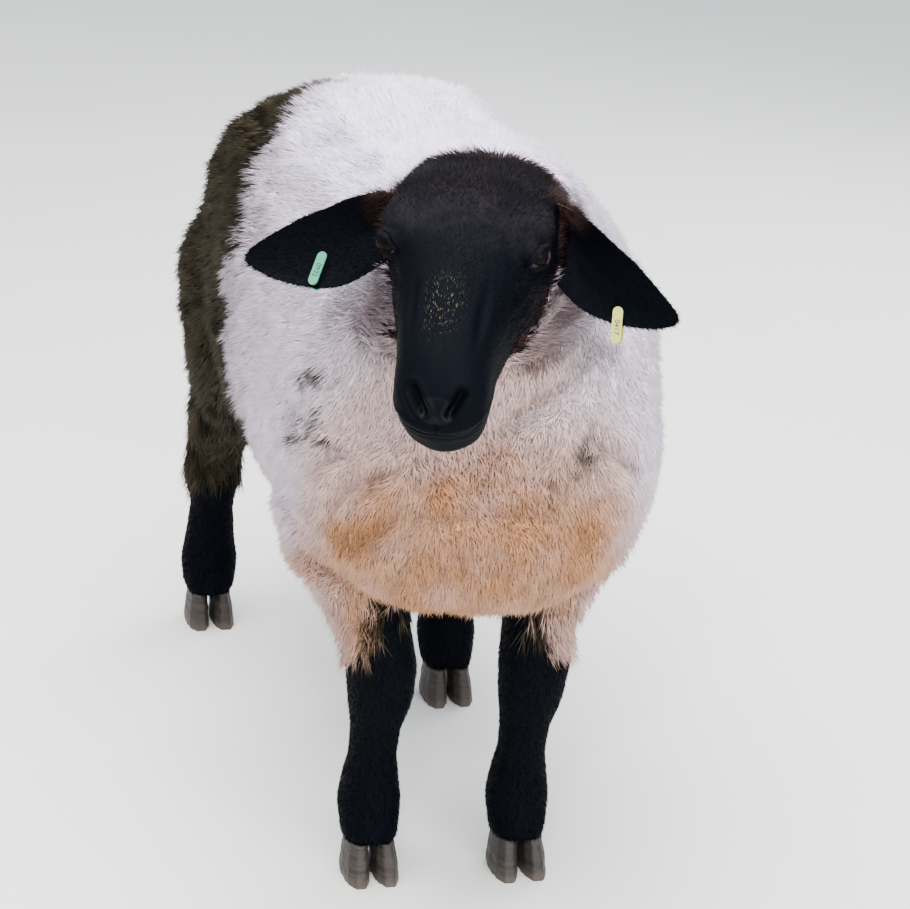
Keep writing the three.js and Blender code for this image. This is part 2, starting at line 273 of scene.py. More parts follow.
def turn_faces_out(mesh):
    book = bmesh.new()
    book.from_mesh(mesh)
    bmesh.ops.recalc_face_normals(book, faces=book.faces)
    book.to_mesh(mesh)
    book.free()


def closed_tube(name, rings):
    """A closed mesh through an array of rings of points."""
    count, sides = rings.shape[:2]
    points = np.concatenate([rings.reshape(-1, 3), rings[0].mean(0)[None], rings[-1].mean(0)[None]])
    quads, ends = tube_faces(count, sides)
    triangles = np.concatenate([quads[:, [0, 1, 2]], quads[:, [0, 2, 3]], ends])
    mesh = mesh_of(name, points, triangles)
    turn_faces_out(mesh)
    return mesh


def store(mesh, name, values):
    """Writes one vector for each point of the mesh, for the materials to read."""
    layer = mesh.attributes.new(name, "FLOAT_VECTOR", "POINT")
    layer.data.foreach_set("vector", np.ascontiguousarray(values, np.float32).ravel())


# ---------------------------------------------------------------- markings, the same on skin and coat
WOOL_EDGE = {"front": 0.272, "hind": 0.192}  # height at which the wool of a leg gives way to hair
INNER_RISE = 0.05  # how much higher that edge is on the inner side of a front leg
LEG_TOP = 0.42  # the legs' own coat is below this height
MID_X = 0.01  # the middle between the front legs
MUD_HEIGHTS = (0.40, 0.45, 0.55, 0.63, 0.68, 0.705, 0.727, 0.75)
MUD_FRONT = (0.03, 0.05, 0.10, 0.09, 0.169, 0.21, 0.298, 0.36)  # how far forward the mud comes there

HEAD_ROWS = (  # y, crown, underside, half width, height of the widest point, squareness, lean to the left
    (24, 16, -40, 40, -8, 2.0, 0),
    (8, 40, -68, 64, -4, 2.1, 0),
    (-16, 54, -88, 77, 2, 2.2, 0),
    (-46, 65, -98, 82, 8, 2.3, 0),
    (-80, 68, -98, 82, 12, 2.3, 0),
    (-112, 62, -90, 73, 8, 2.3, 0),
    (-145, 55, -80, 61, 0, 2.35, 0),
    (-180, 48, -73, 52, -6, 2.4, 0),
    (-212, 41, -69, 47, -10, 2.4, 1),
    (-240, 31, -67, 46, -12, 2.3, 3),
    (-262, 18, -61, 41, -15, 2.25, 4.5),
    (-276, 4, -48, 30, -18, 2.1, 5),
    (-284, -9, -30, 13, -19, 2.0, 5),
)
EAR_LENGTH = 158
CUP_LEVEL = 0.65  # sets how far the cup of an ear sinks below its middle plane
EAR_ROWS = (  # share of the length, half chord, depth of the cup, rise of the middle line, in millimetres
    (0.0, 22, 20, 7),
    (0.12, 30, 22, 4),
    (0.28, 36, 20, -1.5),
    (0.45, 37, 16, -7),
    (0.6, 34, 12, -7.5),
    (0.74, 27, 8, -6.5),
    (0.86, 19, 5, -4.5),
    (0.95, 11, 2.5, -2),
    (1.0, 4, 1, -0.5),
)


def in_head(head, spare=14):
    """True for points, in the head's own frame, that lie on the head and not on the neck or chest."""
    rows = np.array(HEAD_ROWS)[::-1]
    top, bottom, half = (np.interp(head[:, 1], rows[:, 0], rows[:, i]) for i in (1, 2, 3))
    inside = (np.abs(head[:, 0]) < half + spare) & (head[:, 2] < top + spare) & (head[:, 2] > bottom - spare)
    return inside & (head[:, 1] > rows[0, 0] - 20) & (head[:, 1] < rows[-1, 0])


def behind_face(points):
    """How far each point lies behind the line where the black hair of the face meets the wool, in mm."""
    head = to_head(points)
    edge = 3 - 60 * smooth_step(34, 4, head[:, 2]) - 36 * smooth_step(2, -30, head[:, 2]) \
        - 16 * smooth_step(-40, -80, head[:, 2])
    return head[:, 1] - edge - 5 * ripple(points, 0.025, 5) - 3 * ripple(points, 0.009, 6)


EAR_MARGIN = 9  # how far a point may lie off the middle surface of an ear, in millimetres


def beside_ear(local):
    """True for points, in an ear's own frame, that lie close to its middle surface."""
    rows = np.array(EAR_ROWS)
    chord, cup, rise = (np.interp(local[:, 0] / EAR_LENGTH, rows[:, 0], rows[:, i]) for i in (1, 2, 3))
    across = (local[:, 1] - rise) / (chord + 2)
    return (local[:, 0] < EAR_LENGTH + 8) & (np.abs(across) < 1.15) \
        & (np.abs(local[:, 2] - cup * (across ** 2 - CUP_LEVEL)) < EAR_MARGIN)


def on_ears(points, low, high):
    """0 off the ears and at their roots, rising to 1 between two distances from the root, in mm."""
    share = np.zeros(len(points))
    for local, _ in to_ears(points):
        share = np.maximum(share, beside_ear(local) * smooth_step(low, high, local[:, 0]))
    return share


def inner_share(points, spare=0.0):
    """1 on the inner side of the front legs, 0 on the outer side and on the brisket."""
    x, y, _ = points.T
    right = smooth_step(-0.094 - spare, -0.066 - spare, x)
    left = smooth_step(0.096 + spare, 0.066 + spare, x)
    return np.where(x < MID_X, right, left) * smooth_step(0.02, 0.04, np.abs(x - MID_X)) \
        * smooth_step(-0.30, -0.28, y) * (y < 0.05)


def wool_share(points):
    """1 where wool grows, 0 on the face, ears and lower legs."""
    face = in_head(to_head(points)) * smooth_step(7, -7, behind_face(points))
    ears = on_ears(points, -16, -4)
    for local, _ in to_ears(points):
        at_root = (np.abs(local - [10, 0, 0]) < [26, 34, 28]).all(1)
        ears = np.maximum(ears, at_root)
    _, y, z = points.T
    height = z + 0.010 * ripple(points, 0.035, 9) + 0.012 * ripple(points, 0.010, 8) * (z < LEG_TOP)
    front_edge = WOOL_EDGE["front"] + INNER_RISE * inner_share(points)
    edge_height = np.where(y < 0.05, front_edge, WOOL_EDGE["hind"])
    return smooth_step(-0.01, 0.01, height - edge_height) * (1 - face) * (1 - ears)


FOLDS = (  # ends, depth and width of the creases in the fleece of the neck and chest, in metres
    ((-0.097, -0.33, 0.547), (-0.103, -0.337, 0.517), 0.012, 0.008),
    ((-0.157, -0.291, 0.471), (-0.122, -0.325, 0.517), 0.010, 0.008),
    ((-0.139, -0.315, 0.478), (-0.099, -0.335, 0.528), 0.010, 0.008),
    ((-0.177, -0.249, 0.487), (-0.145, -0.302, 0.522), 0.008, 0.008),
    ((-0.147, -0.287, 0.416), (-0.10, -0.35, 0.470), 0.004, 0.011),
    ((-0.10, -0.35, 0.470), (-0.027, -0.372, 0.486), 0.004, 0.011),
    ((-0.027, -0.372, 0.486), (0.054, -0.375, 0.475), 0.005, 0.011),
    ((0.054, -0.375, 0.475), (0.11, -0.352, 0.433), 0.003, 0.010),
    ((0.09, -0.348, 0.555), (0.062, -0.368, 0.498), 0.013, 0.010),
    ((0.156, -0.324, 0.487), (0.102, -0.348, 0.546), 0.008, 0.008),
    ((-0.014, -0.345, 0.549), (0.085, -0.33, 0.605), 0.009, 0.012),
    ((-0.177, -0.24, 0.562), (-0.186, -0.135, 0.460), 0.013, 0.012),
    ((0.185, -0.16, 0.60), (0.195, -0.18, 0.44), 0.009, 0.014),
    ((-0.162, -0.202, 0.369), (-0.115, -0.228, 0.35), 0.010, 0.012),
)
DIRT = (  # ends, reach and strength of the streaks of dry dirt
    ((-0.186, -0.205, 0.510), (-0.171, -0.257, 0.548), 0.022, 1.8),
    ((-0.177, -0.231, 0.577), (-0.156, -0.269, 0.596), 0.014, 1.2),
    ((-0.166, -0.273, 0.522), (-0.157, -0.286, 0.534), 0.014, 1.2),
    ((0.086, -0.354, 0.536), (0.045, -0.370, 0.497), 0.020, 0.7),
)


DEEP_FOLD = 0.009  # a crease at least this deep gets painted shade along its whole length


def folds_near(points):
    """For each crease, how far off the points are, how much of it reaches them, its depth and its width."""
    wandering = points + 0.005 * ripple(points, 0.05, 33)[:, None]
    for start, end, depth, width in FOLDS:
        away, along = from_line(wandering, start, end)
        yield away, np.sin(np.pi * np.clip(along, 0.04, 0.96)) ** 0.6, depth, width


def fold_share(points, spread=1.0):
    """1 along the bottom of each deep crease of the fleece, falling to 0 beside it."""
    share = np.zeros(len(points))
    for away, fade, depth, width in folds_near(points):
        fade = fade * min(1, depth / DEEP_FOLD)
        share = np.maximum(share, fade * np.exp(-((away / (width * spread)) ** 2)))
    return share


def mud_marks(points, grain, fine):
    """Wet mud over the right rump and thigh, the hind legs' wool and the inner side of the front legs.

    Also gives the grimy band in front of it.
    """
    x, y, z = points.T
    edge = y - np.interp(z, MUD_HEIGHTS, MUD_FRONT) + 0.02 * grain + 0.018 * fine
    side = smooth_step(0.02, -0.05, x + 0.02 * grain)
    mud = smooth_step(-0.025, 0.05, edge) * side * smooth_step(0.765, 0.71, z - 0.01 * grain)
    mud = np.maximum(mud, 0.8 * smooth_step(0.36, 0.27, z + 0.02 * grain) * (y > 0.1))
    mud = np.maximum(mud, 0.55 * smooth_step(0.3, 0.24, z) * (y < 0.1))
    mud = np.maximum(mud, smooth_step(0.37, 0.32, z) * inner_share(points, 0.016) * (0.8 + 0.35 * fine))
    grime = 0.4 * side * smooth_step(-0.10, 0.0, edge + 0.02 * fine) * (mud < 0.5) * (z < 0.74)
    return mud, grime


def dirt_and_shade_marks(points, fine):
    """Dry dirt at the right shoulder, on the left of the breast and in scattered flecks, and painted shade
    along the creases and where the breast meets the right foreleg.
    """
    x, y, _ = points.T
    dirt = blob(points, (0.088, -0.354, 0.538), (0.026, 0.05, 0.030)) * (1 + 0.5 * fine)
    patchy = smooth_step(-0.5, 0.5, ripple(points, 0.007, 25))
    for low, high, reach, weight in DIRT:
        away, _ = from_line(points, low, high)
        dirt = np.maximum(dirt, weight * patchy * smooth_step(reach, 0.3 * reach, away + 0.003 * fine))
    flecks = ripple(points, 0.006, 23) * ripple(points, 0.05, 24)
    dirt = np.maximum(dirt, 0.55 * smooth_step(1.0, 1.5, flecks) * (x < 0.05) * (y < 0.1))
    # painted shade along the bottom of each deep crease
    dirt = np.maximum(dirt, 0.55 * fold_share(points, 0.6))
    # painted shade: a darker band where the breast meets the right foreleg
    return np.maximum(dirt, 0.25 * blob(points, (-0.14, -0.31, 0.435), (0.05, 0.07, 0.02)))


def rust_marks(points, head, behind, fine):
    """Rust-brown hair and wool along the edge of the face, round the ear roots and on their upper rims."""
    cheek = smooth_step(5, -25, head[:, 2])
    rust = np.exp(-(((behind - 3 - 9 * cheek) / (15 + 9 * cheek)) ** 2)) * in_head(head, 40)
    beside = 0.9 * in_head(head, 11) * smooth_step(-4, 4, behind) * smooth_step(34, 14, head[:, 2])
    rust = np.maximum(rust, beside) * (1 - on_ears(points, 8, 26))
    for side in (-1, 1):
        rust = np.maximum(rust, 1.3 * blob(head, (92 * side, 4, -2), (30, 36, 36)) * (0.9 + 0.2 * fine))
    for local, _ in to_ears(points):
        rim = smooth_step(46, 12, local[:, 0]) * smooth_step(4, 22, local[:, 1]) * beside_ear(local)
        rust = np.maximum(rust, rim * smooth_step(-16, 0, local[:, 0]))
    return rust


def markings(points, normals):
    """Two vectors for each point: how pale (weathered, with painted sky light on top), tan and muddy it is,
    and how stained and shaded, rusty and flecked.

    On the wool the stain holds dirt and painted shade; on the hair of the head it stands for the brown crown
    instead.
    """
    _, y, z = points.T
    grain = ripple(points, 0.03, 21)
    fine = ripple(points, 0.011, 22)
    # paler wool where the skin faces up: weathered wool, with painted cool sky light on the top of the fleece
    pale = smooth_step(0.05, 0.85, normals[:, 2] + 0.15 * grain) * smooth_step(0.5, 0.66, z)
    bib = blob(points, (-0.04, -0.40, 0.46), (0.26, 0.30, 0.34))
    pale = np.maximum(pale, 0.72 * (1 - smooth_step(0.0, 0.45, bib)))
    chest = blob(points, (-0.03, -0.42, 0.40), (0.30, 0.30, 0.24))
    tan = 1.9 * chest + 0.75 * smooth_step(0.46, 0.34, z) * smooth_step(0.05, -0.2, y)
    tan = tan + 0.5 * blob(points, (-0.13, -0.32, 0.44), (0.06, 0.07, 0.03))
    tan = np.clip(np.maximum(tan, 0.3 * smooth_step(0.55, 1, 2 * bib)), 0, 1) * (0.92 + 0.12 * grain)
    mud, grime = mud_marks(points, grain, fine)
    head = to_head(points)
    behind = behind_face(points)
    ruff = 0.55 * np.exp(-(((behind - 44) / 28) ** 2)) * in_head(head, 70) * (head[:, 2] < 0)
    # the stain holds dry dirt, grime and the ruff's tint, and painted shade in the creases and where the
    # breast meets the right foreleg
    stain_and_shade = np.maximum.reduce([dirt_and_shade_marks(points, fine), grime, ruff])
    crown = smooth_step(-165, -70, head[:, 1]) * smooth_step(18, 50, head[:, 2]) * smooth_step(6, -4, behind)
    stain_and_shade = np.where(in_head(head), np.maximum(stain_and_shade * (behind > -4), crown), stain_and_shade)
    rust = rust_marks(points, head, behind, fine)
    bridge = blob(head, (-3, -188, 44), (26, 62, 22))
    return np.stack([pale, tan, mud], 1), np.clip(np.stack([stain_and_shade, rust, bridge], 1), 0, 1)


# ---------------------------------------------------------------- the skin
BODY_VOXEL = 7.0 * MM
HEAD_VOXEL = 2.3 * MM
WOOL_DEPTH = 11 * MM  # how far the skin lies under the outside of the wool
HAIR_DEPTH = 1.6 * MM


def skull_mesh():
    sides = 72
    rows = curve_through(HEAD_ROWS, np.linspace(0, len(HEAD_ROWS) - 1, 78))
    angle = np.linspace(0, 2 * np.pi, sides, endpoint=False)
    y, top, bottom, half, middle, square, lean = (rows[:, i, None] for i in range(7))
    across = np.sign(np.cos(angle)) * np.abs(np.cos(angle)) ** (2 / square)
    rise = np.sign(np.sin(angle)) * np.abs(np.sin(angle)) ** (2 / square)
    z = middle + rise * np.where(rise > 0, top - middle, middle - bottom)
    return closed_tube("skull", np.stack([lean + across * half, np.broadcast_to(y, z.shape), z], -1))


def egg_mesh(centre, radii):
    book = bmesh.new()
    bmesh.ops.create_icosphere(book, subdivisions=4, radius=1)
    mesh = bpy.data.meshes.new("egg")
    book.to_mesh(mesh)
    book.free()
    move_points(mesh, points_of(mesh) * radii + centre)
    return mesh


def ear_mesh(which):
    """A cupped leaf with a rolled rim, a thickened root and two low ridges inside."""
    shares = np.concatenate([np.linspace(0, 0.9, 46), np.linspace(0.915, 1, 9)])
    knots = np.interp(shares, [row[0] for row in EAR_ROWS], range(len(EAR_ROWS)))
    rows = curve_through(EAR_ROWS, knots)
    a = np.sin(np.linspace(-np.pi / 2, np.pi / 2, 27))
    share, chord, cup, rise = (rows[:, i, None] for i in range(4))
    thick = 4.6 * np.minimum(1, 0.5 + chord / 40)
    half = 0.5 * thick * np.maximum(np.sqrt(1 - a * a), 0.42) * (1 + 1.2 * smooth_step(0.2, 0, share))
    ridge = 1.1 * (np.exp(-(((a - 0.25) / 0.12) ** 2)) + np.exp(-(((a + 0.3) / 0.12) ** 2)))
    ridge = ridge * smooth_step(0.75, 0.3, share)
    roll = 1.5 * np.abs(a) ** 6 * smooth_step(1, 0.8, share)
    middle = cup * (a * a - CUP_LEVEL) + roll
    across = rise + a * chord
    along = np.broadcast_to(share * EAR_LENGTH, across.shape)
    outer = np.stack([along, across, middle - half], -1)
    inner = np.stack([along, across, middle + half + ridge], -1)
    rings = np.concatenate([outer, inner[:, ::-1]], 1) * MM
    turned, root = ear_frame(which)
    return closed_tube(f"ear_{which}", rings @ turned.T + root)


def body_base():
    meshes = []
    for node in FLESH:
        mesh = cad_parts[node].data.copy()
        move_points(mesh, points_of(mesh) + 0.7 * MM * normals_of(mesh))
        meshes.append(mesh)
    mesh = remeshed(combined(meshes), BODY_VOXEL)
    smooth(mesh, 26)
    points, normals = points_of(mesh), normals_of(mesh)
    wool = wool_share(points)
    depth = mix(HAIR_DEPTH, WOOL_DEPTH, wool * smooth_step(0.2, 0.34, points[:, 2]))
    move_points(mesh, points - normals * depth[:, None])
    smooth(mesh, 4)
    return mesh


def head_base():
    eggs = [egg_mesh((side * x, y, z), radii) for side in (-1, 1)
            for (x, y, z), radii in (((43, -72, -40), (31, 56, 48)), ((53, -83, 36), (29, 38, 24)))]
    mesh = combined([skull_mesh(), *eggs])
    move_points(mesh, points_of(mesh) * MM @ HEAD_TURN.T + HEAD_AT)
    mesh = remeshed(mesh, HEAD_VOXEL)
    smooth(mesh, 14)
    smooth(mesh, 6, keep_size=False)
    move_points(mesh, points_of(mesh) - normals_of(mesh) * HAIR_DEPTH)
    return joined(mesh, ear_mesh("left"), ear_mesh("right"))


def refine(mesh, centres):
    """Splits the faces near each centre, given as point and reach in the head's own frame."""
    book = bmesh.new()
    book.from_mesh(mesh)
    book.verts.ensure_lookup_table()
    head = to_head(points_of(mesh))
    near = np.zeros(len(head), bool)
    for centre, reach in centres:
        near |= np.linalg.norm(head - centre, axis=1) < reach
    chosen = [edge for edge in book.edges if near[edge.verts[0].index] and near[edge.verts[1].index]]
    bmesh.ops.subdivide_edges(book, edges=chosen, cuts=1, use_grid_fill=True)
    book.to_mesh(mesh)
    book.free()


NOSTRIL = ((13, -273, 6), (23.5, -257, 17))  # its lower inner and upper outer ends
LID_OPENINGS = {  # half length and half height of each opening, and how far back it lies
    1: (9.6, 4.7, 4),
    -1: (6.5, 3.6, -3.5),
}
LID_OVER_BALL = 1.7  # thickness of the closed part of the lids
EYE_OUT = unit(np.array([0.80, -0.50, 0.33]))
EYE_ALONG = unit(np.array([-0.55, -0.81, 0.20]))  # towards the inner corner


def lean_of(head):
    """How far the middle of the head lies to the left at each point."""
    rows = np.array(HEAD_ROWS)[::-1]
    return np.interp(head[:, 1], rows[:, 0], rows[:, 6])


def above_mouth(head):
    """Height over the line between the lips."""
    return head[:, 2] + 15 + 9 * smooth_step(-272, -205, head[:, 1])


def eye_axes(side):
    """The left or right eye's centre, its way out, towards its inner corner and up, in the head's frame."""
    mirror = np.array([side, 1, 1])
    out = EYE_OUT * mirror
    along = unit(EYE_ALONG * mirror - out * ((EYE_ALONG * mirror) @ out))
    up = np.cross(out, along)
    return EYE_AT / MM * mirror, out, along, up if up[2] > 0 else -up


def eye_opening(head, side):
    """Each point's way from an eye's centre, its distance in front, along and up, and its almond number.

    The almond number is 0 in the middle of the opening between the lids and 1 on its edge.
    """
    centre, out, along, up = eye_axes(side)
    from_eye = head - centre
    half_long, half_high, back = LID_OPENINGS[side]
    front, s, t = from_eye @ out, from_eye @ along + back, from_eye @ up
    bow = half_high * (1 - 0.25 * (t < 0)) * (1 - 0.35 * smooth_step(0, half_long, s))
    bent = t + 0.012 * s * np.abs(s)
    return from_eye, front, s, t, np.sqrt((s / half_long) ** 2 + (bent / np.maximum(bow, 1)) ** 2)


def sculpt_head(mesh):
    points = points_of(mesh)
    head = to_head(points)
    normals = normals_of(mesh) @ HEAD_TURN
    on_head = in_head(head, 30) & (head[:, 1] < 0)
    ears = on_ears(points, 21, 23) > 0.5
    push = np.zeros(len(points))
    level = head - np.stack([lean_of(head), np.zeros(len(head)), np.zeros(len(head))], 1)
    for side in (-1, 1):
        bumps = (  # centre, radii, how far out
            ((70, -92, 56), (20, 30, 14), 3.0),
            ((60, -140, 22), (16, 20, 16), -3.6),
            ((60, -158, -8), (13, 60, 13), 3.0),
            ((33, -190, 38), (8, 60, 16), -3.6),
            ((62, -66, -48), (26, 44, 36), 3.0),
            ((76, -58, 22), (18, 24, 24), -4.0),
            ((33, -246, -4), (15, 22, 18), 2.4),
            ((30, -235, -44), (18, 34, 14), 1.8),
            ((20, -100, 64), (16, 30, 14), 1.2),
        )
        for (x, y, z), radii, out in bumps:
            push += out * blob(level, (side * x, y, z), radii)
        start, end = (np.array(p) * (side, 1, 1) for p in NOSTRIL)
        away, along = from_line(level, start, end)
        push -= 8.5 * np.exp(-((away / (4.0 + 0.8 * along)) ** 2))
        push += 1.0 * np.exp(-(((away - 9) / 3.5) ** 2)) * (head[:, 1] < -242)
    push += 3.0 * blob(level, (0, -175, 52), (24, 70, 16))
    push -= 1.6 * blob(level, (0, -92, 68), (9, 46, 18))
    push += 2.4 * blob(level, (0, -264, -50), (24, 22, 16))
    front = smooth_step(-264, -275, head[:, 1])
    mouth = above_mouth(head)
    push -= 3.0 * np.exp(-((level[:, 0] / 2.0) ** 2)) * front * smooth_step(-2, 3, mouth) \
        * smooth_step(18, 8, mouth)
    reach = smooth_step(-188, -206, head[:, 1]) * (np.abs(head[:, 0]) < 60)
    push -= 3.4 * np.exp(-((mouth / 1.7) ** 2)) * reach
    push += 1.2 * np.exp(-(((mouth - 6) / 4) ** 2)) * reach + 0.8 * np.exp(-(((mouth + 7) / 4) ** 2)) * reach
    push -= 1.4 * smooth_step(0, -4, mouth) * smooth_step(-30, -14, mouth) * reach
    push *= on_head & ~ears
    head = head + normals * push[:, None]

    for side in (-1, 1):
        from_eye, front, _, t, almond = eye_opening(head, side)
        distance = np.maximum(np.linalg.norm(from_eye, axis=1), 1e-6)
        near = (distance < 40) & (front > -4)
        cover = EYE_RADIUS / MM + LID_OVER_BALL
        radius = (distance + cover + np.sqrt((distance - cover) ** 2 + 6)) / 2
        radius = radius - np.where(t > 0, 1.5, 0.8) * np.exp(-(((almond - 2.1) / 0.25) ** 2)) * near
        radius = radius + 0.9 * np.exp(-(((almond - 1.24) / 0.18) ** 2)) * near
        radius = mix(radius, EYE_RADIUS / MM - 3.2, smooth_step(1.08, 0.9, almond) * (front > 0) * near)
        radius = np.where(distance < 40, radius, distance)
        head = head - from_eye + from_eye * (radius / distance)[:, None]
    move_points(mesh, np.where((on_head & ~ears)[:, None], head * MM @ HEAD_TURN.T + HEAD_AT, points))


def sculpt_body(mesh):
    """The loose folds and creases of the fleece."""
    points, normals = points_of(mesh), normals_of(mesh)
    wool = wool_share(points)
    push = wool * (3.4 * ripple(points, 0.075, 31) + 1.8 * ripple(points, 0.032, 32)) * MM
    for away, fade, depth, width in folds_near(points):
        push -= 1.4 * wool * depth * fade * np.exp(-((away / width) ** 2))
        push += 0.6 * wool * depth * fade * np.exp(-(((away - 2.1 * width) / width) ** 2))
    move_points(mesh, points + normals * push[:, None])


def skin_mesh():
    mesh = joined(head_base(), body_base())
    eye = EYE_AT / MM
    spots = [(eye * (side, 1, 1), 30) for side in (-1, 1)]
    refine(mesh, [*spots, (np.array([4, -268, -8]), 50)])
    refine(mesh, [(spot, 21) for spot, _ in spots])
    seam = np.exp(-(((to_head(points_of(mesh))[:, 1] - 5) / 30) ** 2)) * (points_of(mesh)[:, 2] > 0.55)
    smooth(mesh, 8, seam, keep_size=False)
    sculpt_body(mesh)
    sculpt_head(mesh)
    return mesh


# ---------------------------------------------------------------- the coat
class Ground:
    """The skin as arrays: its triangles, their areas, and what a root that stands on one reads there."""

    def __init__(self, skin):
        mesh = skin.data
        mesh.calc_loop_triangles()
        self.corners = read(mesh.loop_triangles, "vertices", 3, np.int32)
        loops = read(mesh.loop_triangles, "loops", 3, np.int32)
        self.places = read(mesh.uv_layers["OFBake"].data, "uv", 2)[loops]
        self.points, self.normals = points_of(mesh), normals_of(mesh)
        a, b, c = (self.points[self.corners[:, i]] for i in range(3))
        self.area = np.linalg.norm(np.cross(b - a, c - a), axis=1) / 2
        self.centre = (a + b + c) / 3
        self.wool = wool_share(self.centre)

    def scatter(self, density, rng):
        """Roots spread evenly at density per square metre: points, normals and places on the unwrap."""
        wanted = self.area * density
        number = np.floor(wanted + rng.uniform(size=len(wanted))).astype(int)
        face = np.repeat(np.arange(len(number)), number)
        u, v = rng.uniform(size=(2, len(face)))
        u, v = np.where(u + v > 1, 1 - u, u), np.where(u + v > 1, 1 - v, v)
        share = np.stack([1 - u - v, u, v], 1)[:, :, None]
        corners = self.corners[face]
        points = (self.points[corners] * share).sum(1)
        normals = unit((self.normals[corners] * share).sum(1))
        return points, normals, (self.places[face] * share).sum(1)


def lie_of(points, normals):
    """The way the coat lies.

    Down and back on the body, down the legs, back over the face and out along the ears.
    """
    x, y, z = points.T
    upness = smooth_step(0.2, 0.95, normals[:, 2])
    across = 0.9 * upness * np.clip(x / 0.12, -1, 1)
    flow = np.stack([across, np.full(len(x), 0.55), np.full(len(x), -0.8)], 1)
    breast = smooth_step(-0.22, -0.32, y)
    flow = mix(flow, np.array([0, 0.05, -1.0]), breast[:, None])
    flow = mix(flow, np.array([0, 0.12, -1.0]), smooth_step(0.36, 0.3, z)[:, None])
    head = to_head(points)
    face = in_head(head, 30) & (head[:, 1] < -10)
    over = np.stack([0.006 * head[:, 0], np.full(len(x), 1.0), -0.25 - 0.004 * np.abs(head[:, 0])], 1)
    flow = np.where(face[:, None], over @ HEAD_TURN.T, flow)
    for local, turned in to_ears(points):
        on_ear = (local[:, 0] > 10) & beside_ear(local)
        out = np.stack([np.ones(len(x)), 0.012 * (local[:, 1] + 8), np.zeros(len(x))], 1) @ turned.T
        flow = np.where(on_ear[:, None], out, flow)
    swirl = np.stack([ripple(points, 0.05, seed) for seed in (41, 42, 43)], 1)
    flow = unit(flow) + 0.16 * swirl
    return unit(flow - normals * (flow * normals).sum(1, keepdims=True))


TUFT_ALONG = (0, 0, 0, 1)  # a tuft has three points at its root and one at its tip
TUFT_FACES = np.array(((0, 1, 3), (1, 2, 3), (2, 0, 3), (0, 2, 1)))
TUFT_PATCH = 0.0015 * np.array(((-1, -1), (1, -1), (0, -0.5), (0, 1)))  # its place on the unwrap
ROOT_DEPTH = 0.8 * MM  # how deep a tuft stands in the skin


def grow(name, roots, lie, length, width, lift, rest, pull, lock, colours):
    """A piece of coat: at each root a tuft that leans lift degrees off the skin there and rest at its tip."""
    points, normals, places = roots
    side = np.cross(normals, lie)

    def heading(degrees):
        angle = np.radians(degrees)[:, None]
        return np.cos(angle) * lie + np.sin(angle) * normals

    first = heading(lift)
    over = np.cross(first, side)
    length, width = length[:, None], width[:, None]
    base = points - normals * ROOT_DEPTH
    middle = base + first * length * 0.5 + 0.35 * pull
    count = len(TUFT_ALONG)
    made = np.empty((len(points), count, 3))
    for corner in range(3):
        turned = math.radians(90 + 120 * corner)
        offset = math.cos(turned) * side + 0.8 * math.sin(turned) * over
        made[:, corner] = base + 0.5 * width * offset
    made[:, 3] = middle + heading(rest) * length * 0.5 + 0.65 * pull
    faces = (np.arange(len(points))[:, None, None] * count + TUFT_FACES).reshape(-1, 3)
    mesh = mesh_of(name, made.reshape(-1, 3), faces)
    for label, values in zip(("marks_a", "marks_b"), colours):
        store(mesh, label, np.repeat(values, count, axis=0))
    strand = np.empty((len(points), count, 3))
    strand[:, :, 0] = TUFT_ALONG
    strand[:, :, 1:] = lock[:, None, :]
    store(mesh, "strand", strand)
    layer = mesh.uv_layers.new(name="OFBake")
    spread = places[:, None, :] + TUFT_PATCH[None]
    layer.data.foreach_set("uv", spread[:, TUFT_FACES.ravel()].astype(np.float32).ravel())
    return add_object(name, mesh)


def gather(points, spacing, rng):
    """Groups roots into locks: for each root, the way to its lock's middle and that lock's three numbers."""
    count = max(1, int(len(points) / spacing))
    chosen = rng.choice(len(points), count, replace=False)
    tree = KDTree(count)
    for i, point in enumerate(points[chosen]):
        tree.insert(point, i)
    tree.balance()
    nearest = np.fromiter((tree.find(point)[1] for point in points), int, len(points))
    own = rng.uniform(size=(count, 3))
    return points[chosen][nearest] - points, own[nearest]


def in_leg_wool(points):
    """True on the legs, below the body and beside the brisket."""
    return (points[:, 2] < 0.35) & (np.abs(points[:, 0]) > 0.02)


def part_of_body(points):
    """The region that each root of wool belongs to."""
    x, y, z = points.T
    head = to_head(points)
    side = np.where(x < 0.0, "right", "left")
    region = np.select([y < -0.095, y < 0.215], ["shoulder", "flank"], "rump").astype(object)
    region = region + "_" + side
    region[in_leg_wool(points)] = "legs"
    region[(head[:, 1] < 95) & (z > 0.6)] = "neck"
    return region


# ---------------------------------------------------------------- sizes and colours that a user may change
def length_property(name, description, default, low):
    return FloatProperty(
        name=name, description=description, default=default, min=low, subtype="DISTANCE", unit="LENGTH")


class CoatSettings(bpy.types.PropertyGroup):
    wool_length: length_property("Wool length", "Length of a tuft of wool", 0.016, 0.005)
    wool_width: length_property("Wool width", "Width of a tuft of wool at its root", 0.0021, 0.001)
    wool_density: FloatProperty(
        name="Wool density", description="Tufts of wool on a square metre of skin", default=225000.0, min=100)
    hair_length: length_property("Hair length", "Length of the hair on the face", 0.0058, 0.001)
    hair_width: length_property("Hair width", "Width of a tuft of hair at its root", 0.00095, 0.0005)
    hair_density: FloatProperty(
        name="Hair density", description="Tufts of hair on a square metre of skin", default=330000.0, min=100)
    seed: IntProperty(name="Seed", description="Starts the random draws of the coat", default=7, min=0)


def colour_property(name, description, default):
    return FloatVectorProperty(
        name=name, description=description, default=default, size=3, min=0, max=1, subtype="COLOR")


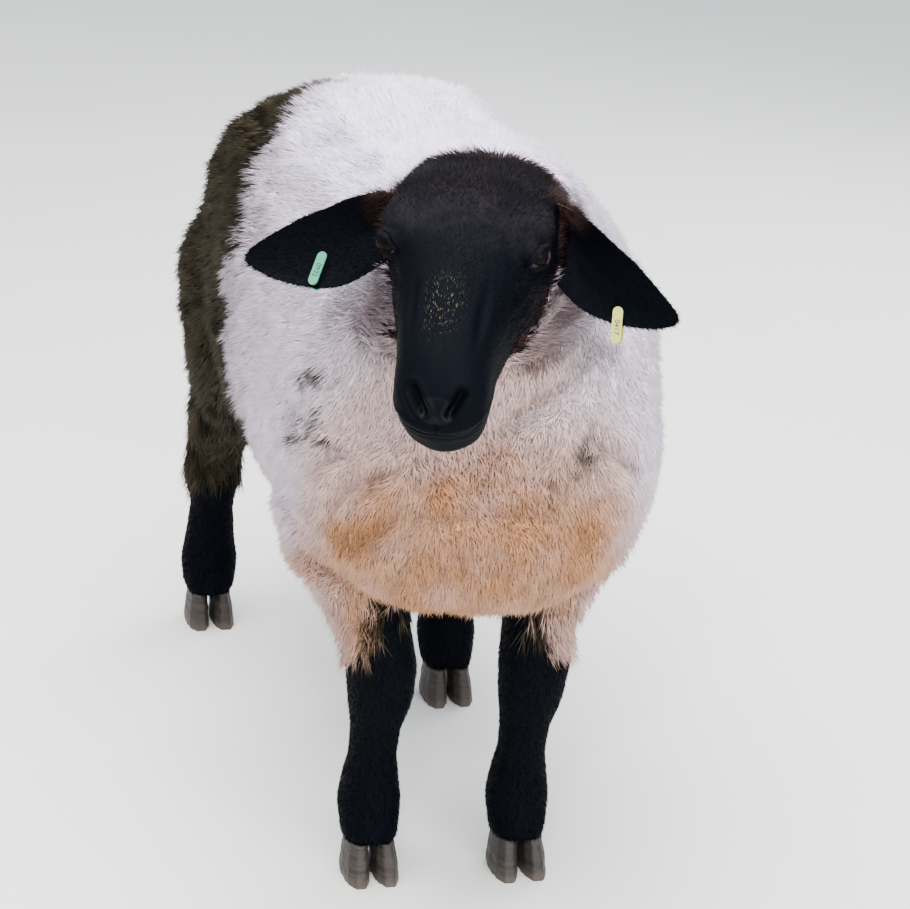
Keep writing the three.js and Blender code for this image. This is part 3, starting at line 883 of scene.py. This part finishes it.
class ColourSettings(bpy.types.PropertyGroup):
    fleece: colour_property("Fleece", "Wool of the sides and chest", (0.82, 0.65, 0.65))
    # its lilac tint is painted cool sky light falling on the back; the paleness is weathering
    fleece_pale_sky_lit: colour_property("Pale fleece", "Wool of the back, bleached by weather", (0.88, 0.81, 1.0))
    fleece_tan: colour_property("Tan fleece", "Greasy wool of the breast", (0.54, 0.275, 0.135))
    mud: colour_property("Mud", "Wet mud in the wool of the rump", (0.018, 0.0145, 0.0085))
    stain_and_shade: colour_property("Stain", "Dry dirt caught in the wool", (0.085, 0.065, 0.050))
    # this colour also paints the shade in the deep creases of the fleece and where the breast meets the right
    # foreleg
    rust: colour_property("Rust", "Weathered tips where black hair meets wool", (0.070, 0.036, 0.030))
    # the blue in this near-black is painted cool sky sheen on the black hair
    hair: colour_property("Hair", "Black hair of the face, ears and legs", (0.0007, 0.0012, 0.0026))
    hair_brown: colour_property("Brown hair", "Weathered hair of the forehead", (0.010, 0.0080, 0.0105))
    fleck: colour_property("Fleck", "Pale flecks on the bridge of the nose", (0.22, 0.18, 0.11))
    lid: colour_property("Lid", "Bare rim of the lower eyelid", (0.13, 0.075, 0.070))
    horn: colour_property("Horn", "Horn of the claws", (0.018, 0.015, 0.013))
    green: colour_property("Green tag", "Plastic of the right ear's tag", (0.010, 0.19, 0.10))
    yellow: colour_property("Yellow tag", "Plastic of the left ear's tag", (0.38, 0.38, 0.08))
    floor: colour_property("Floor", "The pale floor", (0.74, 0.73, 0.70))


class StageSettings(bpy.types.PropertyGroup):
    lens: FloatProperty(name="Lens", description="Focal length of the camera", default=116.8, unit="CAMERA")
    sky: FloatProperty(name="Sky", description="Strength of the soft light all round", default=1.25, min=0)
    overhead: FloatProperty(
        name="Overhead light", description="Power of the lamp above", default=300.0, min=0, unit="POWER")
    fill: FloatProperty(
        name="Fill light", description="Power of the lamp in front", default=150.0, min=0, unit="POWER")


# ---------------------------------------------------------------- materials
class Finish:
    """A material that is put together node by node around one principled shader."""

    def __init__(self, name, **constants):
        self.material = bpy.data.materials.new(name)
        self.material.use_nodes = True
        self.tree = self.material.node_tree
        self.shader = self.tree.nodes["Principled BSDF"]
        for socket, value in constants.items():
            self.shader.inputs[socket.replace("_", " ").title().replace("Ior", "IOR")].default_value = value

    def node(self, kind, inputs=(), **settings):
        made = self.tree.nodes.new(kind)
        for key, value in settings.items():
            setattr(made, key, value)
        for key, value in dict(inputs).items():
            self.feed(value, made.inputs[key])
        return made

    def feed(self, value, socket):
        if isinstance(value, bpy.types.NodeSocket):
            self.tree.links.new(value, socket)
        else:
            socket.default_value = value

    def set(self, socket, value):
        self.feed(value, self.shader.inputs[socket])

    def attribute(self, name):
        """The three numbers of a stored vector."""
        made = self.node("ShaderNodeAttribute", attribute_name=name, attribute_type="GEOMETRY")
        parts = self.node("ShaderNodeSeparateXYZ", {0: made.outputs["Vector"]})
        return parts.outputs[0], parts.outputs[1], parts.outputs[2]

    def place(self, stretch=(1, 1, 1)):
        made = self.node("ShaderNodeTexCoord")
        return self.node("ShaderNodeMapping", {"Vector": made.outputs["Object"], "Scale": stretch}).outputs[0]

    def noise(self, scale, detail=3.0, stretch=(1, 1, 1), roughness=0.55):
        return self.node("ShaderNodeTexNoise", {
            "Vector": self.place(stretch), "Scale": scale, "Detail": detail, "Roughness": roughness,
        }).outputs["Fac"]

    def math(self, operation, a, b=0.0):
        return self.node("ShaderNodeMath", {0: a, 1: b, 2: 0.0}, operation=operation).outputs[0]

    def ramp(self, value, low, high, start=0.0, end=1.0):
        """value between low and high, spread smoothly between start and end."""
        return self.node("ShaderNodeMapRange", {
            "Value": value, "From Min": low, "From Max": high, "To Min": start, "To Max": end,
        }, interpolation_type="SMOOTHSTEP").outputs[0]

    def blend(self, share, a, b):
        made = self.node("ShaderNodeMix", data_type="RGBA")
        for key, value in ((0, share), (6, a), (7, b)):
            if isinstance(value, (tuple, list)) and len(value) == 3:
                value = (*value, 1.0)
            self.feed(value, made.inputs[key])
        return made.outputs[2]

    def shade(self, colour, value):
        """The colour made darker or lighter by a number."""
        made = self.node("ShaderNodeVectorMath", {0: colour, "Scale": value}, operation="SCALE")
        return made.outputs[0]

    def bump(self, height, strength, distance):
        return self.node("ShaderNodeBump", {
            "Height": height, "Strength": strength, "Distance": distance}).outputs[0]


def colour_of(name):
    return tuple(getattr(bpy.context.scene.sheep_colours, name))


def fleece_colour(finish):
    pale, tan, mud = finish.attribute("marks_a")
    stain_and_shade, rust, _ = finish.attribute("marks_b")
    cloud = finish.noise(22.0, 4.0)
    fine = finish.noise(160.0, 3.0)
    # paler, lilac wool on top: weathering plus painted sky light
    colour = finish.blend(finish.math("MULTIPLY", pale, 0.95), colour_of("fleece"), colour_of("fleece_pale_sky_lit"))
    warm = finish.math("MULTIPLY", tan, finish.ramp(cloud, 0.25, 0.75, 0.82, 1.08))
    colour = finish.blend(warm, colour, colour_of("fleece_tan"))
    yellow = finish.ramp(fine, 0.5, 0.75, 0.0, 0.35)
    colour = finish.blend(yellow, colour, finish.shade(colour, 0.72))
    wet = finish.ramp(finish.math("ADD", mud, finish.math("MULTIPLY", fine, 0.3)), 0.3, 0.75)
    colour = finish.blend(wet, colour, colour_of("mud"))
    # dirt, and painted shade in the creases and where the breast meets the right foreleg
    colour = finish.blend(finish.math("MULTIPLY", stain_and_shade, 0.95), colour, colour_of("stain_and_shade"))
    return finish.blend(finish.math("MULTIPLY", rust, 0.75), colour, colour_of("rust")), wet


def fleece_finish():
    """Wool: matt and deep, darker and warmer at the root where painted shade falls between the tufts, each
    lock a little its own shade.
    """
    finish = Finish("fleece", roughness=0.9, specular_ior_level=0.06)
    colour, wet = fleece_colour(finish)
    along, own, lock = finish.attribute("strand")
    # painted shade: each tuft darker towards its root, where its neighbours shade it
    deep = finish.ramp(along, 0.0, 0.8, 0.80, 1.0)
    shade = finish.math("MULTIPLY", deep, finish.ramp(own, 0.0, 1.0, 0.88, 1.05))
    shade = finish.math("MULTIPLY", shade, finish.ramp(lock, 0.0, 1.0, 0.84, 1.06))
    clumped = finish.math("MULTIPLY", wet, finish.ramp(lock, 0.0, 1.0, -0.6, 1.9))
    shade = finish.math("ADD", shade, clumped)
    finish.set("Base Color", finish.shade(colour, shade))
    finish.set("Roughness", finish.ramp(wet, 0.0, 1.0, 0.92, 0.45))
    return finish.material


def fleece_ground_finish():
    """The skin under the wool, closed over by the feet of the locks."""
    finish = Finish("fleece_ground", roughness=0.95, specular_ior_level=0.1)
    colour, _ = fleece_colour(finish)
    tufted = finish.noise(240.0, 4.0, roughness=0.7)
    finish.set("Base Color", finish.shade(colour, finish.ramp(tufted, 0.3, 0.7, 0.8, 0.98)))
    finish.set("Normal", finish.bump(tufted, 0.9, 0.004))
    return finish.material


def hair_colour(finish, own=None):
    crown, rust, bridge = finish.attribute("marks_b")
    # the black hair colour carries a painted cool sheen in its blue
    black, brown = colour_of("hair"), colour_of("hair_brown")
    patch = finish.math("MULTIPLY", finish.noise(45.0, 4.0, roughness=0.7), finish.math("ADD", crown, 0.12))
    colour = finish.blend(finish.ramp(patch, 0.2, 0.75, 0.0, 0.7), black, brown)
    if own is not None:
        tips = finish.math("MULTIPLY", crown, finish.ramp(own, 0.3, 1.0))
        colour = finish.blend(tips, colour, brown)
        fleck = finish.math("MULTIPLY", bridge, finish.ramp(own, 0.62, 0.95))
        colour = finish.blend(finish.math("MULTIPLY", fleck, 0.8), colour, colour_of("fleck"))
        rust = finish.math("MULTIPLY", rust, finish.ramp(own, 0.2, 0.9, 0.2, 1.0))
    return finish.blend(finish.math("MULTIPLY", rust, 0.65), colour, colour_of("rust"))


def hair_finish():
    """Short black hair with a cool shine."""
    finish = Finish("hair", roughness=0.5, specular_ior_level=0.035)
    _, own, _ = finish.attribute("strand")
    finish.set("Base Color", hair_colour(finish, own))
    finish.set("Roughness", finish.ramp(own, 0.0, 1.0, 0.5, 0.7))
    return finish.material


def hide_finish(name, shine):
    """The skin under short hair, bare and damp on the nose, pink on the rim of the lower lids."""
    finish = Finish(name, roughness=0.5, specular_ior_level=shine)
    bare, lid, shadow = finish.attribute("bare")
    colour = hair_colour(finish)
    colour = finish.blend(bare, colour, (0.0012, 0.0015, 0.0024))
    colour = finish.blend(lid, colour, colour_of("lid"))
    colour = finish.shade(colour, finish.ramp(shadow, 0.0, 1.0, 1.0, 0.25))
    finish.set("Base Color", colour)
    grain = finish.noise(520.0, 3.0, roughness=0.6)
    cells = finish.node("ShaderNodeTexVoronoi", {"Vector": finish.place(), "Scale": 900.0})
    pores = cells.outputs["Distance"]
    height = finish.node("ShaderNodeMix", {0: bare, 2: grain, 3: pores}, data_type="FLOAT").outputs[0]
    finish.set("Normal", finish.bump(height, 0.3, 0.0006))
    finish.set("Roughness", finish.ramp(bare, 0.0, 1.0, 0.62, 0.33))
    return finish.material


def eye_finish():
    """A nearly black iris with a level pupil under a wet, clear surface."""
    finish = Finish("eye", roughness=0.35, coat_weight=0.035, coat_roughness=0.03, specular_ior_level=0.01)
    across, up, _ = finish.attribute("eye")
    radius = finish.math("SQRT", finish.math("ADD", finish.math("MULTIPLY", across, across),
                                             finish.math("MULTIPLY", up, up)))
    angle = finish.math("ARCTAN2", up, across)
    rays = finish.node("ShaderNodeTexNoise", {
        "Vector": finish.node("ShaderNodeCombineXYZ", {
            0: finish.math("MULTIPLY", angle, 5.0), 1: finish.math("MULTIPLY", radius, 0.25)}).outputs[0],
        "Scale": 2.2, "Detail": 3.0}).outputs["Fac"]
    iris = finish.blend(finish.ramp(rays, 0.35, 0.65), (0.002, 0.0013, 0.001), (0.006, 0.0034, 0.002))
    iris = finish.blend(finish.ramp(radius, 5.6, 8.2), iris, (0.002, 0.0015, 0.0015))
    white = finish.blend(finish.ramp(rays, 0.3, 0.7), (0.002, 0.0015, 0.0015), (0.004, 0.003, 0.003))
    colour = finish.blend(finish.ramp(radius, 8.2, 9.0), iris, white)
    slot = finish.math("MAXIMUM", finish.math("MULTIPLY", finish.math("ABSOLUTE", across), 0.2),
                       finish.math("MULTIPLY", finish.math("ABSOLUTE", up), 0.48))
    pupil = finish.ramp(slot, 0.92, 1.05)
    finish.set("Base Color", finish.blend(pupil, (0.002, 0.002, 0.003), colour))
    return finish.material


def horn_finish():
    """Dark claw horn with growth rings, scuffed and pale towards the ground."""
    finish = Finish("horn", roughness=0.5, specular_ior_level=0.2)
    rings = finish.noise(60.0, 3.0, stretch=(0.25, 0.25, 4.0))
    streaks = finish.noise(300.0, 4.0, stretch=(1.0, 1.0, 0.12))
    height = finish.node("ShaderNodeSeparateXYZ", {0: finish.place()}).outputs[2]
    rough_height = finish.math("ADD", height, finish.math("MULTIPLY", streaks, 0.012))
    scuffed = finish.ramp(rough_height, 0.006, 0.022, 1, 0)
    colour = finish.blend(finish.ramp(rings, 0.4, 0.65, 0.0, 0.7), colour_of("horn"), (0.045, 0.036, 0.029))
    colour = finish.blend(finish.math("MULTIPLY", scuffed, 0.45), colour, (0.11, 0.088, 0.07))
    finish.set("Base Color", colour)
    finish.set("Roughness", finish.ramp(rings, 0.3, 0.7, 0.42, 0.7))
    relief = finish.math("ADD", rings, finish.math("MULTIPLY", streaks, 0.4))
    finish.set("Normal", finish.bump(relief, 0.6, 0.0012))
    return finish.material


def tag_finish(name, colour):
    """Moulded plastic with a fine grain, a little dirt and dulled edges."""
    finish = Finish(name, roughness=0.45, specular_ior_level=0.45)
    grain = finish.noise(900.0, 3.0)
    dirt = finish.ramp(finish.noise(110.0, 4.0), 0.52, 0.72, 0.0, 0.55)
    finish.set("Base Color", finish.blend(dirt, colour, finish.shade(colour, 0.45)))
    finish.set("Roughness", finish.ramp(grain, 0.3, 0.7, 0.38, 0.6))
    finish.set("Normal", finish.bump(grain, 0.25, 0.0006))
    return finish.material


def print_finish():
    finish = Finish("tag_print", roughness=0.6, specular_ior_level=0.3)
    worn = finish.noise(700.0, 3.0)
    share = finish.ramp(worn, 0.5, 0.8)
    finish.set("Base Color", finish.blend(share, (0.01, 0.012, 0.01), (0.06, 0.07, 0.06)))
    return finish.material


def floor_finish():
    finish = Finish("floor", roughness=0.8, specular_ior_level=0.2)
    cloud = finish.noise(1.6, 3.0)
    colour = colour_of("floor")
    finish.set("Base Color", finish.blend(finish.ramp(cloud, 0.3, 0.7), colour, finish.shade(colour, 0.96)))
    finish.set("Normal", finish.bump(finish.noise(260.0, 2.0), 0.08, 0.001))
    return finish.material


# ---------------------------------------------------------------- the pieces, one operator each
def plate_frame(mesh):
    """A tag's way out of its front plate, its way down, the middle of that plate and its half length."""
    points = points_of(mesh)
    areas = read(mesh.polygons, "area")
    facing = np.array([polygon.normal[:] for polygon in mesh.polygons])
    forward = facing[:, 1] < 0
    rough = unit((facing[forward] * areas[forward, None] ** 2).sum(0))
    flat = (facing @ rough > 0.97) & forward
    out = unit((facing[flat] * areas[flat, None]).sum(0))
    high = (points @ out).max()
    face = points[points @ out > high - 0.3 * MM]
    spread = face - face.mean(0)
    down = np.linalg.svd(spread, full_matrices=False)[2][0]
    down = down if down[2] < 0 else -down
    top, bottom = (spread @ down).min(), (spread @ down).max()
    return out, down, face.mean(0) + down * (bottom + top) / 2, (bottom - top) / 2


FIGURE_HEIGHT = 7.2 * MM
FIGURE_RISE = 0.12 * MM


def number_mesh(number, out, down, middle, half):
    """Raised figures that run down the front of a tag."""
    curve = bpy.data.curves.new("number", "FONT")
    curve.body = number
    curve.size = FIGURE_HEIGHT
    curve.extrude = FIGURE_RISE
    curve.resolution_u = 3
    curve.align_x, curve.align_y = "CENTER", "CENTER"
    made = add_object("number", curve)
    mesh = baked(made)
    bpy.data.curves.remove(curve)
    points = points_of(mesh)
    across = np.cross(out, down)
    centre = middle + 0.12 * half * down + 0.1 * MM * out
    move_points(mesh, centre + points @ np.stack([down, across, out]))
    return mesh


def finish_piece(made, slot, *materials, replaces=()):
    for material in materials:
        made.data.materials.append(material)
    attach(made, "root")
    if replaces:
        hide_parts(*replaces)
    return made


NOSE_AT, NOSE_REACH = (4.5, -270, 6), (23, 20, 15)  # the bare skin round the nostrils


def face_marks(points):
    """How bare and damp, how pink and how shaded the hide is at each point."""
    head = to_head(points)
    nose = blob(head, NOSE_AT, NOSE_REACH) * 1.8
    lips = 0.7 * np.exp(-((above_mouth(head) / 4) ** 2)) * smooth_step(-225, -255, head[:, 1])
    lid, shadow = np.zeros(len(points)), np.zeros(len(points))
    for side in (-1, 1):
        from_eye, front, along, up, almond = eye_opening(head, side)
        near = (np.linalg.norm(from_eye, axis=1) < 24) & (front > 0)
        rim = np.exp(-(((almond - 1.3) / 0.3) ** 2)) * near
        lid += rim * smooth_step(0.5, -2.0, up) * smooth_step(-10, -7, along) * smooth_step(4, 1, along)
        lid += rim * smooth_step(7, 10, along)
        shadow += near * smooth_step(1.05, 0.9, almond)
        start, end = (np.array(p) * (side, 1, 1) for p in NOSTRIL)
        away, _ = from_line(head - [4.5, 0, 0], start, end)
        shadow += smooth_step(5.0, 2.5, away) + 0.5 * smooth_step(14, 5, away)
    return np.clip(np.stack([np.maximum(nose, lips), lid, shadow], 1), 0, 1)


class SHEEP_OT_skin(bpy.types.Operator):
    """Builds the one skin of the head, ears, body and legs"""

    bl_idname = "sheep.skin"
    bl_label = "Skin"

    def execute(self, context):
        mesh = skin_mesh()
        made = add_object("skin", mesh)
        context.view_layer.objects.active = made
        made.select_set(True)
        bpy.ops.object.mode_set(mode="EDIT")
        bpy.ops.mesh.select_all(action="SELECT")
        bpy.ops.uv.smart_project(angle_limit=math.radians(66), island_margin=0.002)
        bpy.ops.object.mode_set(mode="OBJECT")
        made.select_set(False)
        mesh.uv_layers[0].name = "OFBake"
        mesh.shade_smooth()
        points, normals = points_of(mesh), normals_of(mesh)
        for label, values in zip(("marks_a", "marks_b"), markings(points, normals)):
            store(mesh, label, values)
        bare = face_marks(points)
        store(mesh, "bare", bare)
        ends = read(mesh.loops, "vertex_index", kind=np.int32)
        starts = read(mesh.polygons, "loop_start", kind=np.int32)
        mesh.materials.clear()
        finish_piece(made, "hair", hide_finish("hide", 0.03), fleece_ground_finish(),
                     hide_finish("bare_hide", 0.06), replaces=(*FLESH, *HEAD_NODES))
        kind = (np.add.reduceat(wool_share(points)[ends], starts) > 2).astype(np.int32)
        kind[np.add.reduceat(bare[ends, 0], starts) > 1.2] = 2
        mesh.polygons.foreach_set("material_index", kind)
        mesh.update()
        return {"FINISHED"}


class SHEEP_OT_eyes(bpy.types.Operator):
    """Builds both eyes, each a ball with a bulging clear front"""

    bl_idname = "sheep.eyes"
    bl_label = "Eyes"

    def execute(self, context):
        material = eye_finish()
        for which, side in (("left", 1), ("right", -1)):
            centre, out, along, up = eye_axes(side)
            polar = np.radians(np.concatenate([np.linspace(1, 50, 26), np.linspace(54, 179, 26)]))
            around = np.linspace(0, 2 * np.pi, 56, endpoint=False)
            bulge = 1.5 * np.clip(1 - (np.degrees(polar) / 40) ** 2, 0, 1) ** 1.5
            radius = (EYE_RADIUS / MM - 0.3 + bulge)[:, None]
            ring = radius * np.sin(polar)[:, None]
            rise = np.broadcast_to(radius * np.cos(polar)[:, None], (len(polar), len(around)))
            rings = np.stack([ring * np.cos(around), ring * np.sin(around), rise], -1)
            mesh = closed_tube(f"eye_{which}", rings)
            points = points_of(mesh)
            store(mesh, "eye", points)
            head = centre + points @ np.stack([along, up, out])
            move_points(mesh, head * MM @ HEAD_TURN.T + HEAD_AT)
            turn_faces_out(mesh)
            mesh.shade_smooth()
            finish_piece(add_object(f"eyeball_{which}", mesh), "eye", material, replaces=(f"eye_{which}",))
        return {"FINISHED"}


HORN_VOXELS = {"claw": 1.9 * MM, "dewclaw": 1.2 * MM}


class SHEEP_OT_claws(bpy.types.Operator):
    """Builds the claws and dewclaws with rounded horn and growth rings"""

    bl_idname = "sheep.claws"
    bl_label = "Claws"

    def execute(self, context):
        material = horn_finish()
        for kind in HORN_VOXELS:
            for side in ("right", "left"):
                for foot in FEET:
                    node = f"{kind}_{side}_{foot}"
                    mesh = remeshed(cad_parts[node].data.copy(), HORN_VOXELS[kind])
                    mesh.materials.clear()
                    smooth(mesh, 6)
                    points, normals = points_of(mesh), normals_of(mesh)
                    ring = np.sin(points[:, 2] / (3.1 * MM) + 0.8 * ripple(points, 0.02, 51))
                    ring = 0.25 * ring * smooth_step(0.004, 0.01, points[:, 2])
                    wear = ring + 0.2 * ripple(points, 0.006, 52)
                    points = points + normals * (wear * MM)[:, None]
                    points[:, 2] = np.maximum(points[:, 2], 0)
                    move_points(mesh, points)
                    mesh.shade_smooth()
                    finish_piece(add_object(f"horn_{node}", mesh), "horn", material, replaces=(node,))
        return {"FINISHED"}


class SHEEP_OT_tags(bpy.types.Operator):
    """Builds the two ear tags: rounded plates, the pin between them and plain printed numbers"""

    bl_idname = "sheep.tags"
    bl_label = "Ear tags"

    def execute(self, context):
        printed = print_finish()
        for which, colour, number in (("left", "yellow", "0417"), ("right", "green", "0932")):
            node = f"ear_tag_{which}"
            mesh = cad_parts[node].data.copy()
            made = add_object("plate", mesh)
            edge = made.modifiers.new("round", "BEVEL")
            edge.width, edge.segments = 0.45 * MM, 2
            edge.limit_method = "ANGLE"
            edge.angle_limit = math.radians(50)
            mesh = baked(made)
            mesh.materials.clear()
            out, down, middle, half = plate_frame(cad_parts[node].data)
            mesh.shade_flat()
            finish_piece(add_object(f"tag_{which}", mesh), f"{colour}_plastic",
                         tag_finish(f"{colour}_tag", colour_of(colour)), replaces=(node,))
            text = number_mesh(number, out, down, middle, half)
            finish_piece(add_object(f"tag_number_{which}", text), f"{colour}_plastic", printed)
        return {"FINISHED"}


LEG_WOOL_SHARE, LEG_HAIR_SHARE = 0.62, 0.5  # how dense the coat of the legs is
LOCK_ROOTS = 15  # tufts of wool in a lock
HOOF_TOP = 0.038  # height at which the hair ends above the claws


class SHEEP_OT_wool(bpy.types.Operator):
    """Grows the fleece in locks over the body, neck, tail and upper legs"""

    bl_idname = "sheep.wool"
    bl_label = "Fleece"

    def execute(self, context):
        coat = context.scene.sheep_coat
        rng = np.random.default_rng(coat.seed)
        ground = Ground(bpy.data.objects["skin"])
        thin = 1.0
        sparse = np.where(in_leg_wool(ground.centre), LEG_WOOL_SHARE, 1)
        roots = ground.scatter(coat.wool_density * thin * sparse * (ground.wool > 0.35), rng)
        points, normals, _ = roots
        material = fleece_finish()
        colours = markings(points, normals)
        mud = colours[0][:, 2]
        pull, own = gather(points, LOCK_ROOTS * max(thin, 0.3), rng)
        lie = lie_of(points, normals)
        turned = np.radians(30 * (own[:, 0] - 0.5) + rng.normal(0, 15, len(points)))[:, None]
        lie = np.cos(turned) * lie + np.sin(turned) * np.cross(normals, lie)
        face = np.exp(-((to_head(points)[:, 1] + 20) / 40) ** 2) * (points[:, 2] > 0.6)
        low = smooth_step(0.36, 0.28, points[:, 2])
        length = coat.wool_length * (0.8 + 0.4 * own[:, 1]) * rng.uniform(0.75, 1.2, len(points))
        crease = fold_share(points, 1.1)
        length = length * (1 - 0.25 * face) * (1 - 0.5 * crease) * (1 + 0.7 * low + 0.35 * mud)
        flat = smooth_step(-0.15, -0.3, points[:, 1]) * (1 - low)
        lift = 52 - 24 * low - 12 * face - 12 * mud - 14 * flat + 14 * (own[:, 2] - 0.5)
        lift = lift + rng.normal(0, 7, len(points))
        rest = 38 - 30 * low - 12 * face - 16 * mud - 14 * flat + rng.normal(0, 7, len(points))
        width = coat.wool_width * rng.uniform(0.75, 1.2, len(points)) / math.sqrt(thin)
        pull = pull * (0.36 + np.maximum(0.55 * mud, 0.3 * low))[:, None]
        lock = np.stack([rng.uniform(size=len(points)), own[:, 1]], 1)
        region = part_of_body(points)
        for name in sorted(set(region)):
            at = region == name
            if not at.any():
                raise RuntimeError(f"no wool grew on the {name}")
            made = grow(f"wool_{name}", [v[at] for v in roots], lie[at], length[at], width[at],
                        lift[at], rest[at], pull[at], lock[at], [v[at] for v in colours])
            finish_piece(made, "wool", material)
        return {"FINISHED"}


class SHEEP_OT_hair(bpy.types.Operator):
    """Grows the short hair of the face, ears and lower legs"""

    bl_idname = "sheep.hair"
    bl_label = "Hair"

    def execute(self, context):
        coat = context.scene.sheep_coat
        rng = np.random.default_rng(coat.seed + 1)
        ground = Ground(bpy.data.objects["skin"])
        thin = 1.0
        head = to_head(ground.centre)
        legs = ground.centre[:, 2] < LEG_TOP
        nose = blob(head, NOSE_AT, NOSE_REACH) > 0.12
        eyes = np.zeros(len(head), bool)
        for side in (-1, 1):
            from_eye, _, _, _, almond = eye_opening(head, side)
            eyes |= (almond < 1.4) & (np.linalg.norm(from_eye, axis=1) < 26)
        density = coat.hair_density * np.where(legs, LEG_HAIR_SHARE, 1.0) * (ground.wool < 0.65)
        density = density * ~nose * ~eyes * (ground.centre[:, 2] > HOOF_TOP)
        roots = ground.scatter(density * thin, rng)
        points, normals, _ = roots
        lie = lie_of(points, normals)
        turned = np.radians(rng.normal(0, 14, len(points)))[:, None]
        lie = np.cos(turned) * lie + np.sin(turned) * np.cross(normals, lie)
        head = to_head(points)
        low = points[:, 2] < LEG_TOP
        muzzle = smooth_step(-150, -240, head[:, 1]) * ~low
        poll = smooth_step(-95, -45, head[:, 1]) * smooth_step(10, 50, head[:, 2]) * in_head(head) * ~low
        length = coat.hair_length * rng.uniform(0.75, 1.25, len(points))
        colours = markings(points, normals)
        fringe = colours[1][:, 1]
        length = length * np.where(low, 1.25, 1 - 0.4 * muzzle + 0.9 * poll + 1.4 * fringe)
        width = coat.hair_width * rng.uniform(0.8, 1.2, len(points)) * np.where(low, 1.4, 1) / math.sqrt(thin)
        lift = 26 + 14 * poll + 16 * fringe + rng.normal(0, 6, len(points))
        rest = 6 + 12 * poll + 16 * fringe + rng.normal(0, 5, len(points))
        lock = rng.uniform(size=(len(points), 2))
        material = hair_finish()
        region = np.where(low, "legs", np.where(in_head(head, 18), "head", "ears"))
        for name in sorted(set(region)):
            at = region == name
            made = grow(f"hair_{name}", [v[at] for v in roots], lie[at], length[at], width[at],
                        lift[at], rest[at], np.zeros((at.sum(), 3)), lock[at], [v[at] for v in colours])
            finish_piece(made, "hair", material)
        return {"FINISHED"}


CAMERA_AT = (-0.7904, -2.8808, 1.559)
CAMERA_TURN, CAMERA_TILT, CAMERA_ROLL = 16.33, 21.17, 3.80  # degrees
FLOOR_HALF = 20.0
SKY_TINT = (0.84, 0.91, 1.0, 1.0)
LAMPS_AIM = Vector((0, 0, 0.45))


class SHEEP_OT_stage(bpy.types.Operator):
    """Sets the pale floor, the soft lights and the camera"""

    bl_idname = "sheep.stage"
    bl_label = "Stage"

    def execute(self, context):
        stage = context.scene.sheep_stage
        corners = FLOOR_HALF * np.array([(-1, -1, 0), (1, -1, 0), (1, 1, 0), (-1, 1, 0)])
        floor = add_object("floor", mesh_of("floor", corners, [(0, 1, 2, 3)]))
        floor.data.materials.append(floor_finish())
        world = bpy.data.worlds.new("soft_light")
        context.scene.world = world
        world.use_nodes = True
        background = world.node_tree.nodes["Background"]
        background.inputs["Color"].default_value = SKY_TINT
        background.inputs["Strength"].default_value = stage.sky
        for name, place, size, power, colour in (
            ("overhead", (-0.4, -0.2, 3.0), 2.6, stage.overhead, (1.0, 0.98, 0.96)),
            ("fill", (0.5, -3.1, 1.6), 2.2, stage.fill, (0.97, 0.97, 1.0)),
            ("rim", (1.8, 1.9, 2.0), 1.5, 0.5 * stage.fill, (0.92, 0.96, 1.0)),
            ("spark", (-0.9, -2.4, 2.3), 0.22, 0.25 * stage.fill, (1.0, 1.0, 1.0)),
        ):
            lamp = bpy.data.lights.new(name, "AREA")
            lamp.shape, lamp.size, lamp.energy, lamp.color = "SQUARE", size, power, colour
            made = add_object(name, lamp)
            made.location = place
            made.rotation_euler = (LAMPS_AIM - Vector(place)).to_track_quat("-Z", "Y").to_euler()
        camera = bpy.data.cameras.new("camera")
        camera.lens, camera.sensor_width = stage.lens, 36.0
        camera.clip_start, camera.clip_end = 0.05, 100.0
        made = add_object("camera", camera)
        right, down = math.radians(CAMERA_TURN), math.radians(CAMERA_TILT)
        level = np.array([math.cos(right), -math.sin(right), 0.0])
        ahead = np.array([math.sin(right), math.cos(right), 0.0])
        forward = math.cos(down) * ahead - np.array([0, 0, math.sin(down)])
        above = np.cross(level, forward)
        roll = math.radians(CAMERA_ROLL)
        x_axis = level * math.cos(roll) + above * math.sin(roll)
        y_axis = above * math.cos(roll) - level * math.sin(roll)
        rows = np.stack([x_axis, y_axis, -forward], 1)
        made.matrix_world = Matrix.Translation(CAMERA_AT) @ Matrix(rows.tolist()).to_4x4()
        context.scene.camera = made
        return {"FINISHED"}


SETTINGS = {"sheep_coat": CoatSettings, "sheep_colours": ColourSettings, "sheep_stage": StageSettings}
STEPS = (SHEEP_OT_skin, SHEEP_OT_eyes, SHEEP_OT_claws, SHEEP_OT_tags, SHEEP_OT_wool, SHEEP_OT_hair,
         SHEEP_OT_stage)


class SHEEP_PT_panel(bpy.types.Panel):
    """Lists the settings and the steps that build the sheep"""

    bl_idname = "SHEEP_PT_panel"
    bl_label = "Suffolk sheep"
    bl_space_type = "VIEW_3D"
    bl_region_type = "UI"
    bl_category = "Sheep"

    def draw(self, context):
        for name, group in SETTINGS.items():
            column = self.layout.column(align=True)
            for key in group.__annotations__:
                column.prop(getattr(context.scene, name), key)
        for step in STEPS:
            self.layout.operator(step.bl_idname)


CLASSES = (*SETTINGS.values(), *STEPS, SHEEP_PT_panel)


def register():
    for made in CLASSES:
        bpy.utils.register_class(made)
    for name, group in SETTINGS.items():
        setattr(bpy.types.Scene, name, PointerProperty(type=group))


def unregister():
    for name in SETTINGS:
        delattr(bpy.types.Scene, name)
    for made in reversed(CLASSES):
        bpy.utils.unregister_class(made)


def main():
    register()
    bpy.ops.sheep.skin()
    bpy.ops.sheep.eyes()
    bpy.ops.sheep.claws()
    bpy.ops.sheep.tags()
    bpy.ops.sheep.wool()
    bpy.ops.sheep.hair()
    bpy.ops.sheep.stage()


if __name__ == "__main__":
    main()
